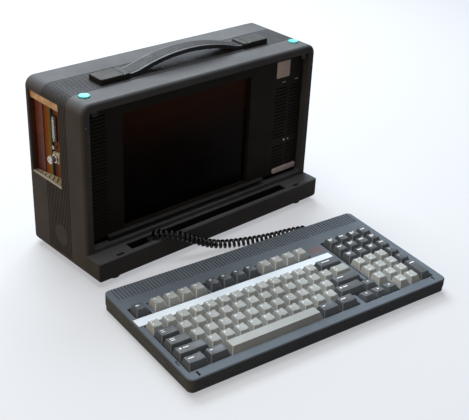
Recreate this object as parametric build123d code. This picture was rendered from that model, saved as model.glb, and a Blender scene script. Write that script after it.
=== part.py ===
from build123d import *
import bisect
import math
import os

# Luggable computer standing on a desk with its keyboard taken off and laid in front of it.
# Millimetres. X to the right, Y to the back, Z up. While modelling, Y = 0 is the plane of the
# front rim and Z = 0 is the desk; everything is moved to the middle of its footprint at the end.

# ---- driving dimensions of the main unit ----
CASE_W = 392.0          # width of the case
CASE_TOP = 236.0        # height of the case over the desk
CASE_BASE = 6.0         # underside of the case, on its feet
CASE_BACK = 127.5       # from the front rim to the back
WALL = 3.0
HOLLOW_CUT = 8.0        # flat across the inner corners of the case
TOP_CORNER_R = 14.0
LOW_CORNER_R = 5.0
REAR_EDGE_R = 10.0
RIM_DEPTH = 12.0        # thickness of the moulded front rim
SEAM_Y = 86.0           # where the rear cover starts
RIB_START_Y = 34.0
RIB_PITCH = 3.5
RIB_COUNT = 15
RIB_GAP = 1.5
RIB_DEPTH = 1.1

RECESS_X = 185.0        # half width of the recess that the display sits in
RECESS_LOW = 39.4
RECESS_HIGH = 225.0
LEDGE_OUT = 25.5        # how far the front ledge stands out
LEDGE_TOP = 34.0

TROUGH_X0, TROUGH_X1 = -140.5, 137.0
TROUGH_Y0, TROUGH_Y1 = -19.5, -5.0
TROUGH_FLOOR = 22.0
SOCKET_H = 4.0

DISC_R, DISC_Y, DISC_Z = 14.0, 56.0, 40.0      # round plate low in the left wall
BAY_Y0, BAY_Y1 = 50.0, 116.0        # card bay opening in the left wall
BAY_Z0, BAY_Z1 = 108.0, 221.0

DRIVE_Y0, DRIVE_Y1 = 43.5, 83.5     # disk drive standing on its side behind the right wall
DRIVE_Z0, DRIVE_Z1 = 66.0, 212.0

DISPLAY_X = 184.0
DISPLAY_LOW, DISPLAY_HIGH = 44.5, 222.5
DISPLAY_FRONT = 10.0
DISPLAY_BACK = 40.0
BEZEL_THICK = 3.5
WINDOW_X0, WINDOW_X1 = -130.5, 84.0
WINDOW_Z0, WINDOW_Z1 = 50.0, 208.0
WINDOW_DEPTH = 6.0
LOUVER_PITCH = 5.0
HINGE_Y, HINGE_Z = 16.0, 219.0      # axis that the display tilts about
HINGE_PIN_R = 2.0

LATCH_X, LATCH_Y = 175.0, 24.0
BUTTON_R = 7.0

HANDLE_Y = 53.0
HANDLE_IN, HANDLE_OUT = 95.0, 140.0
STRAP_W = 24.0
STRAP_T = 5.5
STRAP_RISE = 15.5

# ---- driving dimensions of the keyboard ----
KEY_PITCH = 19.05
KEY_GAP = 0.9
CAP_H = 9.0
CAP_SLOPE_X = 3.1       # how far the sides of a cap lean in, and its front and back
CAP_SLOPE_FRONT = 4.3
CAP_SLOPE_BACK = 1.2
LOW_CAP_FRONT = -3.0    # tops of the lower caps of the cursor keys, at their front and back edge
LOW_CAP_BACK = -5.0
LOW_CAP_SLOPE_X = 4.6   # lean of their sides over the height of a whole cap, and of their backs
LOW_CAP_SLOPE_BACK = 2.6
DISH = 0.6              # sag of the hollow across a cap's top
STEM_END = -17.6
KEY_TRAVEL = 3.8
KEY_TOP_Z = 28.7        # tops of the front row of keys over the desk
KEY_TILT = 1.33         # the keys climb to the back by this angle
BOARD_X0, BOARD_X1 = -7.8, 383.8
BOARD_Y0, BOARD_Y1 = -24.2, 171.0
BOARD_BASE = 2.0
BOARD_SEAM = 10.0
BOARD_CORNER_R = 8.0
DECK_DROP = 7.0         # deck of the keyboard below the key tops
DECK_T = 2.5
SIDE_GROOVES = (13.0, 16.6)         # heights of the fine grooves round its sides
GROOVE_H, GROOVE_DEPTH = 0.8, 0.6
BOARD_TURN = -7.26      # the keyboard stands a little askew in front of the unit
BOARD_AT = (-233.6, -237.0)
GRIP_PITCH = 4.5        # row of short grooves along the rear of the deck
GRIP_START = 7.6        # where they begin, in key pitches
GRIP_WIDTH, GRIP_DEPTH = 2.0, 1.3

# ---- driving dimensions of the curly cord ----
WIRE_D = 4.0
CURL_R = 4.4            # radius of the curls on the wire's own centre line
CURLS = 33.25
START_ANGLE = 270.0     # the wire rises out of the plug on the rear side of the coil
WIRE_SIDES = 4
STRAIGHT_END = 5.0      # straight wire between the last curl and the plug or sleeve
BOOT_SIDES = 10         # flats round the strain reliefs at both ends of the wire
BOOT_TIP_R = 3.0
BOOT_LENGTH = 8.0
CORD_ROUTE = [
    (-103.0, -15.5, 39.9), (-95.0, -20.5, 40.8), (-86.0, -27.0, 40.8), (-75.5, -34.0, 37.8),
    (-63.0, -39.5, 31.5), (-50.0, -43.0, 24.0), (-36.5, -46.0, 17.0), (-22.0, -49.5, 11.4),
    (-4.5, -54.5, 8.2), (16.0, -62.0, 7.2), (38.0, -70.5, 7.0), (60.0, -77.0, 7.0),
    (80.0, -81.5, 7.2), (93.0, -85.6, 7.5), (104.0, -90.0, 7.6)]


def block(x0, x1, y0, y1, z0, z1):
    """An upright block between two opposite corners."""
    middle = Pos((x0 + x1) / 2, (y0 + y1) / 2, (z0 + z1) / 2)
    return middle * Box(x1 - x0, y1 - y0, z1 - z0)


def rod_x(radius, x0, x1, y, z):
    return Pos((x0 + x1) / 2, y, z) * Rot(0, 90, 0) * Cylinder(radius, x1 - x0)


def rod_y(radius, x, y0, y1, z):
    return Pos(x, (y0 + y1) / 2, z) * Rot(90, 0, 0) * Cylinder(radius, y1 - y0)


def rod_z(radius, x, y, z0, z1):
    return Pos(x, y, (z0 + z1) / 2) * Cylinder(radius, z1 - z0)


def run_back(sketch, y0, y1):
    """A front-view sketch (X, Z) carried back from y0 to y1."""
    return extrude(Plane.XZ.offset(-y0) * sketch, amount=y1 - y0, dir=(0, 1, 0))


def window(x0, x1, z0, z1, corner_r):
    middle = Pos((x0 + x1) / 2, (z0 + z1) / 2)
    return middle * RectangleRounded(x1 - x0, z1 - z0, corner_r)


# ---------------------------------------------------------------- main unit: the case

def case_outline(inset):
    """Front view of the case, drawn in by inset: wide corners on top, small ones below."""
    low, high = CASE_BASE + inset, CASE_TOP - inset
    outline = Pos(0, (low + high) / 2) * Rectangle(CASE_W - 2 * inset, high - low)
    outline = fillet(outline.vertices().group_by(Axis.Y)[-1], TOP_CORNER_R - inset)
    return fillet(outline.vertices().group_by(Axis.Y)[0], LOW_CORNER_R - inset)


def case_hollow():
    """Front view of the space inside the case, its top corners cut off flat."""
    low, high = CASE_BASE + WALL, CASE_TOP - WALL
    hollow = Pos(0, (low + high) / 2) * Rectangle(CASE_W - 2 * WALL, high - low)
    return chamfer(hollow.vertices().group_by(Axis.Y)[-1], HOLLOW_CUT)


def make_rib_grooves():
    """The gaps between the ribs: rings over both sides and the top, left out underneath."""
    band = case_outline(-1) - case_outline(RIB_DEPTH)
    ring = run_back(band, 0, RIB_GAP) - block(-CASE_W, CASE_W, -1, RIB_GAP + 1, 0, CASE_BASE + 6)
    return [Pos(0, RIB_START_Y + i * RIB_PITCH, 0) * ring for i in range(RIB_COUNT)]


def make_ledge():
    """The ledge under the display: a hollow shelf with a long pan for the cord in its top."""
    half = CASE_W / 2
    ledge = run_back(case_outline(0), -LEDGE_OUT, 6) & block(-half, half, -LEDGE_OUT, 6, 0, LEDGE_TOP)
    ledge = chamfer(ledge.edges().group_by(Axis.Y)[0], 1.5)
    ledge -= block(-half + WALL, half - WALL, -LEDGE_OUT + WALL, 9, CASE_BASE + WALL, LEDGE_TOP - WALL)
    pan = block(TROUGH_X0 - 2, TROUGH_X1 + 2, TROUGH_Y0 - 2, TROUGH_Y1 + 2, TROUGH_FLOOR - 2, LEDGE_TOP)
    ledge += pan
    ledge -= block(TROUGH_X0, TROUGH_X1, TROUGH_Y0, TROUGH_Y1, TROUGH_FLOOR, LEDGE_TOP + 1)
    for x in (-159.3, 156.3):
        ledge -= block(x - 6.0, x + 6.0, -22.4, -18.2, LEDGE_TOP - WALL - 1, LEDGE_TOP + 1)
    return ledge


def make_main_housing():
    """Front rim, ribbed band and ledge in one moulding, open at the back."""
    body = run_back(case_outline(0), 0, SEAM_Y)
    body = fillet(body.edges().group_by(Axis.Y)[0], 4)
    body -= make_rib_grooves()
    body -= run_back(case_hollow(), RIM_DEPTH, SEAM_Y + 1)
    body -= run_back(window(-RECESS_X, RECESS_X, RECESS_LOW, RECESS_HIGH, 4), -1, RIM_DEPTH + 1)
    body += make_ledge()
    body -= block(-190, 190, -LEDGE_OUT + WALL, 9, CASE_BASE + WALL, TROUGH_FLOOR - 2)
    for side in (-1, 1):
        inner, outer = sorted((side * 187.0, side * 193.5))
        body += block(inner, outer, RIM_DEPTH, 20.5, 213.0, 222.0)
        body -= rod_x(HINGE_PIN_R, min(side * 186, side * 192), max(side * 186, side * 192), HINGE_Y, HINGE_Z)
        body -= rod_z(BUTTON_R + 0.3, side * LATCH_X, LATCH_Y, CASE_TOP - WALL - 1, CASE_TOP + 1)
        hook_x = side * 176.0
        body -= block(hook_x - 4.4, hook_x + 4.4, 1.8, RIM_DEPTH + 1, RECESS_HIGH - 1, 229.6)
    body -= block(-CASE_W, -CASE_W / 2 + WALL + 1, BAY_Y0, SEAM_Y + 1, BAY_Z0, BAY_Z1)
    body -= block(CASE_W / 2 - WALL - 1, CASE_W, DRIVE_Y0, DRIVE_Y1, DRIVE_Z0, DRIVE_Z1)
    body -= rod_x(DISC_R, -CASE_W / 2 - 2, -CASE_W / 2 + WALL + 1, DISC_Y, DISC_Z)
    return body


def make_rear_cover():
    """Smooth rear shell: the card bay cuts into its left wall, the ports open through its back."""
    cover = run_back(case_outline(0), SEAM_Y, CASE_BACK)
    cover = fillet(cover.edges().group_by(Axis.Y)[-1], REAR_EDGE_R - 0.5)
    hollow = run_back(case_hollow(), SEAM_Y - 1, CASE_BACK - WALL)
    cover -= chamfer(hollow.edges().group_by(Axis.Y)[-1], 4.0)
    cover -= block(-CASE_W, -CASE_W / 2 + WALL + 1, SEAM_Y - 1, BAY_Y1, BAY_Z0, BAY_Z1)
    back0, back1 = CASE_BACK - WALL - 1, CASE_BACK + 1
    for i in range(16):
        x = -50 + i * 8.0
        cover -= block(x, x + 3.5, back0, back1, 150, 205)
    cover -= block(118, 146, back0, back1, 20, 40)
    cover -= block(158, 172, back0, back1, 19, 41)
    for x in (-150.0, -92.0, -34.0):
        cover -= block(x, x + 40, back0, back1, 20, 32)
    return cover


def make_side_disc():
    """Plain disc that closes a hole in the left wall, with a square flange behind it."""
    outer = -CASE_W / 2
    face = rod_x(DISC_R, outer - 0.2, outer + WALL, DISC_Y, DISC_Z)
    reach = DISC_R + 3
    return face + block(outer + WALL, outer + WALL + 1.5, DISC_Y - reach, DISC_Y + reach,
                        DISC_Z - reach, DISC_Z + reach)


def make_unit_feet():
    feet = []
    for x in (-165.0, 165.0):
        for y in (-10.0, 108.0):
            feet.append(rod_z(9.0, x, y, 0, CASE_BASE))
    return Compound(feet)


# ---------------------------------------------------------------- main unit: the handle

def strap_centre_line(lift):
    """Side view of the strap: flat tongues at both ends and one long arch between them."""
    z = CASE_TOP + lift
    foot = HANDLE_IN - 1.0
    left = Line((-120, z), (-foot, z))
    rise = JernArc(start=left @ 1, tangent=(1, 0), radius=52, arc_size=17.5)
    arch_end = (-(rise @ 1).X, (rise @ 1).Y)
    arch = TangentArc(rise @ 1, arch_end, tangent=rise % 1)
    fall = JernArc(start=(foot, z), tangent=(-1, 0), radius=52, arc_size=-17.5)
    right = Line((foot, z), (120, z))
    return left, rise, arch, fall, right


def make_handle_strap():
    """Springy carrying strap, grooved along its length."""
    low = strap_centre_line(0.0)
    high = strap_centre_line(STRAP_T)
    ends = [Line(low[0] @ 0, high[0] @ 0), Line(low[4] @ 1, high[4] @ 1)]
    profile = make_face(Wire(list(low) + list(high) + ends))
    y0, y1 = HANDLE_Y - STRAP_W / 2, HANDLE_Y + STRAP_W / 2
    strap = run_back(profile, y0, y1)
    skin = strap_centre_line(STRAP_T - 0.6)
    over = strap_centre_line(STRAP_T + 2.0)
    caps = [Line(skin[0] @ 0, over[0] @ 0), Line(skin[4] @ 1, over[4] @ 1)]
    groove = run_back(make_face(Wire(list(skin) + list(over) + caps)), 0, 1.2)
    groove &= block(-HANDLE_IN, HANDLE_IN, -1, 3, 0, 400)
    strap -= [Pos(0, y0 + 4.0 + i * 3.0, 0) * groove for i in range(6)]
    return strap


def make_handle_end(side):
    """Cap over one end of the strap, with a pocket that the strap's tongue slides in."""
    x0, x1 = sorted((side * HANDLE_IN, side * HANDLE_OUT))
    cap = block(x0, x1, HANDLE_Y - 14, HANDLE_Y + 14, CASE_TOP, CASE_TOP + 7.6)
    cap = fillet(cap.edges().filter_by(Axis.Z), 3.0)
    cap = chamfer(cap.edges().group_by(Axis.Z)[-1], 0.9)
    pocket_x = sorted((side * (HANDLE_IN - 1), side * 124.0))
    cap -= block(pocket_x[0], pocket_x[1], HANDLE_Y - 12.4, HANDLE_Y + 12.4, CASE_TOP - 1, CASE_TOP + 5.9)
    return cap


# ---------------------------------------------------------------- main unit: latches

def make_latch_button(side):
    """Round button with a square collar under the case's top wall."""
    x, collar = side * LATCH_X, BUTTON_R + 1.0
    button = rod_z(BUTTON_R, x, LATCH_Y, 232.6, CASE_TOP + 1.8)
    button = chamfer(button.edges().group_by(Axis.Z)[-1], 0.6)
    return button + block(x - collar, x + collar, LATCH_Y - collar, LATCH_Y + collar, 230.6, 232.6)


def make_latch_hook(side):
    """Tooth that hangs into the recess and catches the stowed keyboard."""
    x = side * 176.0
    tail = block(x - 4, x + 4, 3.0, 12.6, 226.4, 229.2)
    tooth = block(x - 4, x + 4, 3.0, 5.6, 217.5, 229.2)
    nose = Pos(x, 3.0, 218.9) * Rot(0, 90, 0) * Cylinder(1.4, 8)
    return tail + tooth + nose


# ---------------------------------------------------------------- main unit: the display

def make_louvers():
    """Slanted slots: one column left of the screen, two on the pillar to its right."""
    columns = [(-179.0, -156.0, 54.0, 33), (132.0, 155.0, 59.0, 25), (160.0, 182.0, 59.0, 25)]
    slots = []
    for x0, x1, low, count in columns:
        slot = Rot(35, 0, 0) * Box(x1 - x0, 12, 1.9)
        for i in range(count):
            z = low + i * LOUVER_PITCH
            beside_lights = x0 > 0 and 90 < z < 102
            if not beside_lights:
                slots.append(Pos((x0 + x1) / 2, DISPLAY_FRONT + 1.5, z) * slot)
    return slots


def make_display_bezel():
    front = window(-DISPLAY_X, DISPLAY_X, DISPLAY_LOW, DISPLAY_HIGH, 3)
    bezel = run_back(front, DISPLAY_FRONT, DISPLAY_FRONT + BEZEL_THICK)
    bezel = chamfer(bezel.edges().group_by(Axis.Y)[0], 0.8)
    bezel -= make_louvers()
    frame_back = DISPLAY_FRONT + WINDOW_DEPTH
    bezel += block(WINDOW_X0 - 2.4, WINDOW_X1 + 2.4, DISPLAY_FRONT + 1, frame_back,
                   WINDOW_Z0 - 2.4, WINDOW_Z1 + 2.4)
    bezel -= block(WINDOW_X0, WINDOW_X1, DISPLAY_FRONT - 1, frame_back + 1, WINDOW_Z0, WINDOW_Z1)
    for x in (155.0, 163.0):
        bezel -= rod_y(1.6, x, DISPLAY_FRONT - 1, frame_back, 96)
    return bezel


def make_display_back_cover():
    front_y = DISPLAY_FRONT + BEZEL_THICK
    half, low, high = DISPLAY_X - 0.5, DISPLAY_LOW + 0.5, DISPLAY_HIGH - 0.5
    cover = run_back(window(-half, half, low, high, 3), front_y, DISPLAY_BACK)
    cover = chamfer(cover.edges().group_by(Axis.Y)[-1], 1.2)
    cover -= block(-half + 3, half - 3, front_y - 1, DISPLAY_BACK - 2.5, low + 2.5, high - 2.5)
    for side in (-1, 1):
        inner, outer = sorted((side * 178.0, side * 185.0))
        cover -= rod_x(HINGE_PIN_R + 0.3, inner, outer, HINGE_Y, HINGE_Z)
    for i in range(20):
        x = -152 + i * 16.0
        cover -= block(x, x + 4, DISPLAY_BACK - 3, DISPLAY_BACK + 1, 60, 90)
    return cover


def make_screen_filter():
    y0 = DISPLAY_FRONT + WINDOW_DEPTH
    return block(WINDOW_X0 - 2.4, WINDOW_X1 + 2.4, y0, y0 + 2, WINDOW_Z0 - 2.4, WINDOW_Z1 + 2.4)


def make_plasma_panel():
    y0 = DISPLAY_FRONT + WINDOW_DEPTH + 2
    panel = block(WINDOW_X0 + 2, WINDOW_X1 - 2, y0, y0 + 9, WINDOW_Z0 + 2, WINDOW_Z1 - 2)
    for x in (WINDOW_X0 + 12, WINDOW_X1 - 12):
        for z in (WINDOW_Z0 + 50, WINDOW_Z1 - 12):
            panel += block(x - 3.5, x + 3.5, y0 + 8, DISPLAY_BACK - 2.5, z - 3.5, z + 3.5)
    return panel


def make_display_lip():
    """Finger lip along the foot of the display."""
    lip = block(-158, 112, 4.0, DISPLAY_FRONT, DISPLAY_LOW + 0.3, DISPLAY_LOW + 3.4)
    return chamfer(lip.edges().group_by(Axis.Y)[0], 0.9)


def make_indicator_leds():
    lamps = []
    for x in (155.0, 163.0):
        lamp = rod_y(1.5, x, DISPLAY_FRONT - 0.8, 15.0, 96)
        lamps.append(lamp + block(x - 2.2, x + 2.2, DISPLAY_FRONT + BEZEL_THICK, 15.0, 93.8, 98.2))
    return Compound(lamps)


def make_display_hinge_pins():
    return Compound([rod_x(HINGE_PIN_R, -192, -179.5, HINGE_Y, HINGE_Z),
                     rod_x(HINGE_PIN_R, 179.5, 192, HINGE_Y, HINGE_Z)])


# ---------------------------------------------------------------- main unit: what is inside

CAGE_X0, CAGE_X1 = -193.0, -50.0
CAGE_Y0, CAGE_Y1 = 47.0, 118.0
CAGE_Z0, CAGE_Z1 = 103.0, 222.0


def make_card_cage():
    """Sheet-metal box round the card slots, open to the bay: flanges show in the opening."""
    cage = block(CAGE_X0, CAGE_X1, CAGE_Y0, CAGE_Y1, CAGE_Z0, CAGE_Z1)
    cage -= block(CAGE_X0 - 1, CAGE_X1 - 1.5, CAGE_Y0 + 1.2, CAGE_Y1 - 1.2, CAGE_Z0 + 1.5, CAGE_Z1 - 1.5)
    cage += block(CAGE_X0, CAGE_X0 + 1.5, CAGE_Y0, CAGE_Y1, 210.0, CAGE_Z1)
    cage += block(CAGE_X0, CAGE_X0 + 1.5, CAGE_Y0, CAGE_Y1, CAGE_Z0, 109.5)
    cage += block(CAGE_X0 + 4, CAGE_X0 + 5.5, CAGE_Y0, 56.0, CAGE_Z0, CAGE_Z1)
    cage -= block(-150, -70, 56, 110, CAGE_Z1 - 2, CAGE_Z1 + 1)
    return cage


def make_card(y, chips, bracket_z1):
    """One plug-in card: board, edge bracket in the bay, chips on its front side."""
    board = block(-186.5, -54, y, y + 1.6, 112, 204)
    bracket = block(-188, -186.5, y - 8.5, y + 9.5, 104.5, bracket_z1)
    card = board + bracket
    edge = block(-130, -76, y, y + 1.6, 104.5, 112)
    card += edge
    for i in range(chips):
        x = -172 + (i % 5) * 24.0
        z = 122 + (i // 5) * 26.0
        card += block(x, x + 15, y - 3.0, y, z, z + 7.5)
    return card


def make_card_connector():
    """Round bayonet socket with its cap, and the plug strip over it, on the front card."""
    y = 66.0
    barrel = rod_x(4.8, -196.5, -188, y, 141)
    barrel += rod_x(7.0, -190.0, -188, y, 141)
    barrel += rod_x(6.4, -201.5, -193.5, y, 141)
    strip = block(-192.0, -188, y - 4.5, y + 4.5, 162, 196)
    return Compound([barrel, strip])


def make_slot_cover():
    return block(-188, -186.5, 97.5, 114.5, 104.5, 208)


def make_main_board():
    """Circuit board on the floor of the case, with its ports at the back."""
    board = block(-185, 98, 46, 119, 14, 15.6)
    for x in (-180.0, -40.0, 90.0):
        for y in (50.0, 112.0):
            board += block(x - 2.5, x + 2.5, y - 2.5, y + 2.5, CASE_BASE + WALL, 14.5)
    for i in range(12):
        x = -170 + (i % 6) * 34.0
        y = 54 + (i // 6) * 22.0
        board += block(x, x + 22, y, y + 10, 15.6, 19)
    for x in (-150.0, -92.0, -34.0):
        board += block(x + 1, x + 39, 108, CASE_BACK + 0.5, 20.8, 31.2)
        board += block(x + 4, x + 36, 110, 118, 15, 21)
    return board


def make_power_supply():
    """Metal box with the mains inlet that opens through the rear cover."""
    box = block(104, 188, 60, 120, CASE_BASE + WALL, 62)
    box += block(118.6, 145.4, 119, CASE_BACK - 0.5, 20.6, 39.4)
    box -= block(121, 143, 112, CASE_BACK + 1, 23, 37)
    for x, z in ((126.5, 32.0), (132.0, 34.5), (137.5, 32.0)):
        box += block(x - 1, x + 1, 111, 125, z - 2.0, z + 1.5)
    box -= block(157.5, 172.5, 112, CASE_BACK, 18, 42)
    return box


def make_power_switch():
    """Rocker behind the rear wall, pivoted on a short pin."""
    rocker = block(159, 171, 121.5, 127.6, 20.5, 39.5)
    rocker = chamfer(rocker.edges().filter_by(Axis.X), 1.2)
    return rocker + rod_x(1.8, 159, 171, 121.6, 30)


def make_disk_drive():
    """Flexible-disk drive on its side; its front with the long slot fills the right wall."""
    face_x = CASE_W / 2
    drive = block(0, face_x - 6, DRIVE_Y0 + 0.5, DRIVE_Y1 - 0.5, DRIVE_Z0 + 1, DRIVE_Z1 - 1)
    front = block(face_x - 6, face_x + 0.5, DRIVE_Y0 + 0.2, DRIVE_Y1 - 0.2, DRIVE_Z0 + 0.2, DRIVE_Z1 - 0.2)
    drive += chamfer(front.edges().group_by(Axis.X)[-1], 0.7)
    drive -= block(face_x - 40, face_x + 2, 58.5, 62.0, DRIVE_Z0 + 6, DRIVE_Z1 - 6)
    drive -= block(face_x - 5, face_x + 2, 54.0, 66.5, 118, 150)
    drive -= rod_x(1.9, face_x - 8, face_x + 2, 73.5, 134)
    return drive


def make_drive_lever():
    """Turning lever that locks the disk in."""
    lever = block(197.2, 201.5, 70.5, 76.5, 112, 140)
    lever = fillet(lever.edges().filter_by(Axis.X), 2.5)
    return lever + rod_x(1.6, 189, 198, 73.5, 134)


def make_keyboard_socket():
    """Socket on the floor of the cord pan."""
    return block(-112.0, -95.0, -18.0, -5.2, TROUGH_FLOOR, TROUGH_FLOOR + SOCKET_H)


# ---------------------------------------------------------------- the curly cord

def route_point(position):
    """Smooth line through the cord's route: a quadratic B-spline with its ends clamped."""
    spans = len(CORD_ROUTE) - 2
    span = min(int(position), spans - 1)
    t = position - span
    before, corner, after = (Vector(p) for p in CORD_ROUTE[span:span + 3])
    start = before if span == 0 else (before + corner) * 0.5
    end = after if span == spans - 1 else (corner + after) * 0.5
    return start * (1 - t) ** 2 + corner * (2 * t * (1 - t)) + end * t ** 2


def route_stations(step_count=1500):
    """Points along the route with the length run so far and a frame that doesn't twist."""
    spans = len(CORD_ROUTE) - 2
    points = [route_point(spans * i / step_count) for i in range(step_count + 1)]
    side = Vector(0, 0, 1)
    length = 0.0
    stations = []
    for i, point in enumerate(points):
        ahead = points[min(i + 1, step_count)] - points[max(i - 1, 0)]
        tangent = ahead.normalized()
        side = (side - tangent * side.dot(tangent)).normalized()
        if i:
            length += (point - points[i - 1]).length
        stations.append((length, point, tangent, side, tangent.cross(side)))
    return stations


def curl_point(stations, length):
    """A point of the wire's centre line, going round the route as it runs along it."""
    index = bisect.bisect_left([station[0] for station in stations], length)
    index = max(1, min(len(stations) - 1, index))
    before, after = stations[index - 1], stations[index]
    part = (length - before[0]) / (after[0] - before[0])
    middle, side, other = (before[k] + (after[k] - before[k]) * part for k in (1, 3, 4))
    turn = math.radians(START_ANGLE + 360 * CURLS * length / stations[-1][0])
    return middle + side * (CURL_R * math.cos(turn)) + other * (CURL_R * math.sin(turn))


def biarc(p0, t0, p1, t1):
    """Two arcs from p0 to p1 that leave and arrive along the tangents t0 and t1."""
    chord = p1 - p0
    a = 2 * (t0.dot(t1) - 1)
    b = -2 * chord.dot(t0 + t1)
    c = chord.dot(chord)
    reach = c / (-b) if abs(a) < 1e-9 else (-b - math.sqrt(b * b - 4 * a * c)) / (2 * a)
    joint = (p0 + t0 * reach + p1 - t1 * reach) * 0.5
    return [arc_to(p0, p0 + t0 * reach, joint), arc_to(joint, p1 - t1 * reach, p1)]


def arc_to(start, corner, end):
    """The arc that touches start-corner and corner-end at its ends."""
    half_chord = (end - start) * 0.5
    middle = start + half_chord
    up = corner - middle
    angle = math.atan2(up.length, half_chord.length)
    rise = half_chord.length * math.tan(angle / 2)
    return ThreePointArc(start, middle + up.normalized() * rise, end)


def curl_path():
    """The wire's centre line: a straight end, biarcs of about half a turn, a straight end."""
    stations = route_stations()
    total = stations[-1][0]
    steps = math.ceil(2 * CURLS)
    marks = [total * i / steps for i in range(steps + 1)]
    points = [curl_point(stations, mark) for mark in marks]
    tangents = [(curl_point(stations, mark + 0.3) - curl_point(stations, mark - 0.3)).normalized()
                for mark in marks]
    path = [Line(points[0] - tangents[0] * STRAIGHT_END, points[0])]
    for i in range(steps):
        path += biarc(points[i], tangents[i], points[i + 1], tangents[i + 1])
    path.append(Line(points[-1], points[-1] + tangents[-1] * STRAIGHT_END))
    return path


def make_curly_cord():
    """The whole cord as one tube of a few flat sides."""
    path = curl_path()
    spine = Wire(path)
    section = Plane(origin=path[0] @ 0, z_dir=path[0] % 0) * RegularPolygon(WIRE_D / 2, WIRE_SIDES)
    cord = sweep(section, path=spine, clean=False)
    report_cord(path, spine, cord, section.area)
    return cord


def report_cord(path, spine, cord, section_area):
    """Least gap of the wire to itself, measured on points along its centre line."""
    count = 2400
    samples = [spine.position_at(i / count) for i in range(count + 1)]
    step = spine.length / count
    half_turn = int(math.pi * CURL_R / step)
    least = min((samples[i] - samples[j]).length for i in range(0, count, 3)
                for j in range(i + half_turn, min(i + 6 * half_turn, count), 3))
    radii = [arc.radius for arc in path[1:-1]]
    print("curly cord: wire %.0f mm long, %.2f curls" % (spine.length, CURLS))
    print("curly cord: least gap to itself %.2f mm, measured on points" % (least - WIRE_D))
    print("curly cord: radii from %.2f to %.2f mm" % (min(radii), max(radii)))
    print("curly cord: volume %.0f, section times length %.0f" % (cord.volume, section_area * spine.length))
    print("curly cord: lowest point %.2f mm over the desk" % cord.bounding_box().min.Z)
    print("curly cord: ends", path[0] @ 0, path[0] % 0, path[-1] @ 1, path[-1] % 1)


def boot(foot, tip, foot_r):
    """Tapered boot round the wire, many-sided, from its foot to the tip where the wire leaves."""
    axis = (tip - foot).normalized()
    narrowing = math.degrees(math.atan((foot_r - BOOT_TIP_R) / (tip - foot).length))
    foot_outline = Plane(origin=foot, z_dir=axis) * RegularPolygon(foot_r, BOOT_SIDES)
    return extrude(foot_outline, amount=(tip - foot).length, taper=narrowing)


def make_cord_plug():
    """Upright plug in the pan's socket; the wire leaves its boot straight."""
    first = curl_path()[0]
    tip, up = first @ 0, first % 0
    foot = tip - up * BOOT_LENGTH
    plug = block(foot.X - 6.0, foot.X + 6.0, foot.Y - 5.2, foot.Y + 5.2, TROUGH_FLOOR + SOCKET_H, 33.0)
    plug = chamfer(plug.edges().filter_by(Axis.Z), 2.0)
    return chamfer(plug.edges().group_by(Axis.Z)[-1], 0.8) + boot(foot, tip, 4.6)


# ---------------------------------------------------------------- the keyboard

def on_desk(shape):
    return Pos(BOARD_AT[0], BOARD_AT[1], 0) * Rot(0, 0, BOARD_TURN) * shape


def on_keys(shape):
    """From the plane of the key tops, with its origin at the front left key row, to the desk."""
    return on_desk(Pos(0, 0, KEY_TOP_Z) * Rot(KEY_TILT, 0, 0) * shape)


def deck_z(y):
    return KEY_TOP_Z - DECK_DROP + y * math.tan(math.radians(KEY_TILT))


def wedge(x0, x1, y0, y1, low, rise):
    """A block from the height low up to the sloping deck, or rise over it."""
    side = make_face(Polyline((y0, low), (y1, low), (y1, deck_z(y1) + rise), (y0, deck_z(y0) + rise),
                              close=True))
    return extrude(Plane.YZ.offset(x0) * side, amount=x1 - x0, dir=(1, 0, 0))


def side_groove(height):
    """Fine groove round the four sides of the keyboard."""
    x0, x1, y0, y1 = BOARD_X0, BOARD_X1, BOARD_Y0, BOARD_Y1
    around = block(x0 - 2, x1 + 2, y0 - 2, y1 + 2, height, height + GROOVE_H)
    kept = block(x0 + GROOVE_DEPTH, x1 - GROOVE_DEPTH, y0 + GROOVE_DEPTH, y1 - GROOVE_DEPTH,
                 height - 1, height + GROOVE_H + 1)
    return around - fillet(kept.edges().filter_by(Axis.Z), BOARD_CORNER_R - GROOVE_DEPTH)


# openings in the deck, in key pitches: from and to across, from and to back
WELLS = [
    (-0.04, 13.02, -0.53, 0.49), (13.38, 16.5, -0.62, 0.49), (16.45, 19.58, -0.53, 0.49),
    (-0.04, 19.58, 0.48, 1.49), (-0.04, 15.04, 1.48, 4.51), (15.34, 19.58, 1.48, 6.54),
    (-0.04, 1.10, 5.41, 6.54), (1.30, 5.35, 5.41, 6.54), (5.48, 9.50, 5.41, 6.54),
    (9.64, 13.69, 5.41, 6.54)]
# short slots near the front corners of the deck, from front to back
DECK_SLOTS = [(0.39, -1.07, -0.66), (19.31, -0.93, -0.60)]


def make_keyboard_top_shell():
    """Wedge-shaped shell, hollow below, its deck open over the blocks of keys."""
    shell = wedge(BOARD_X0, BOARD_X1, BOARD_Y0, BOARD_Y1, BOARD_SEAM, 0)
    shell = fillet(shell.edges().filter_by(Axis.Z), BOARD_CORNER_R)
    shell = chamfer(shell.edges().filter_by(is_deck_edge), 1.2)
    for height in SIDE_GROOVES:
        shell -= side_groove(height)
    shell -= wedge(BOARD_X0 + 2.8, BOARD_X1 - 2.8, BOARD_Y0 + 2.8, BOARD_Y1 - 2.8, BOARD_SEAM - 1, -DECK_T)
    p = KEY_PITCH
    low, high = 0.0, 60.0
    for u0, u1, v0, v1 in WELLS:
        shell -= block(u0 * p, u1 * p, v0 * p, v1 * p, low, high)
    shell -= make_grip_grooves()
    for u, v0, v1 in DECK_SLOTS:
        shell -= block(u * p - 1.4, u * p + 1.4, v0 * p, v1 * p, low, high)
    return on_desk(shell)


def is_deck_edge(edge):
    """True on the outline of the sloping deck."""
    return all(abs(v.Z - deck_z(v.Y)) < 0.05 for v in edge.vertices())


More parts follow.
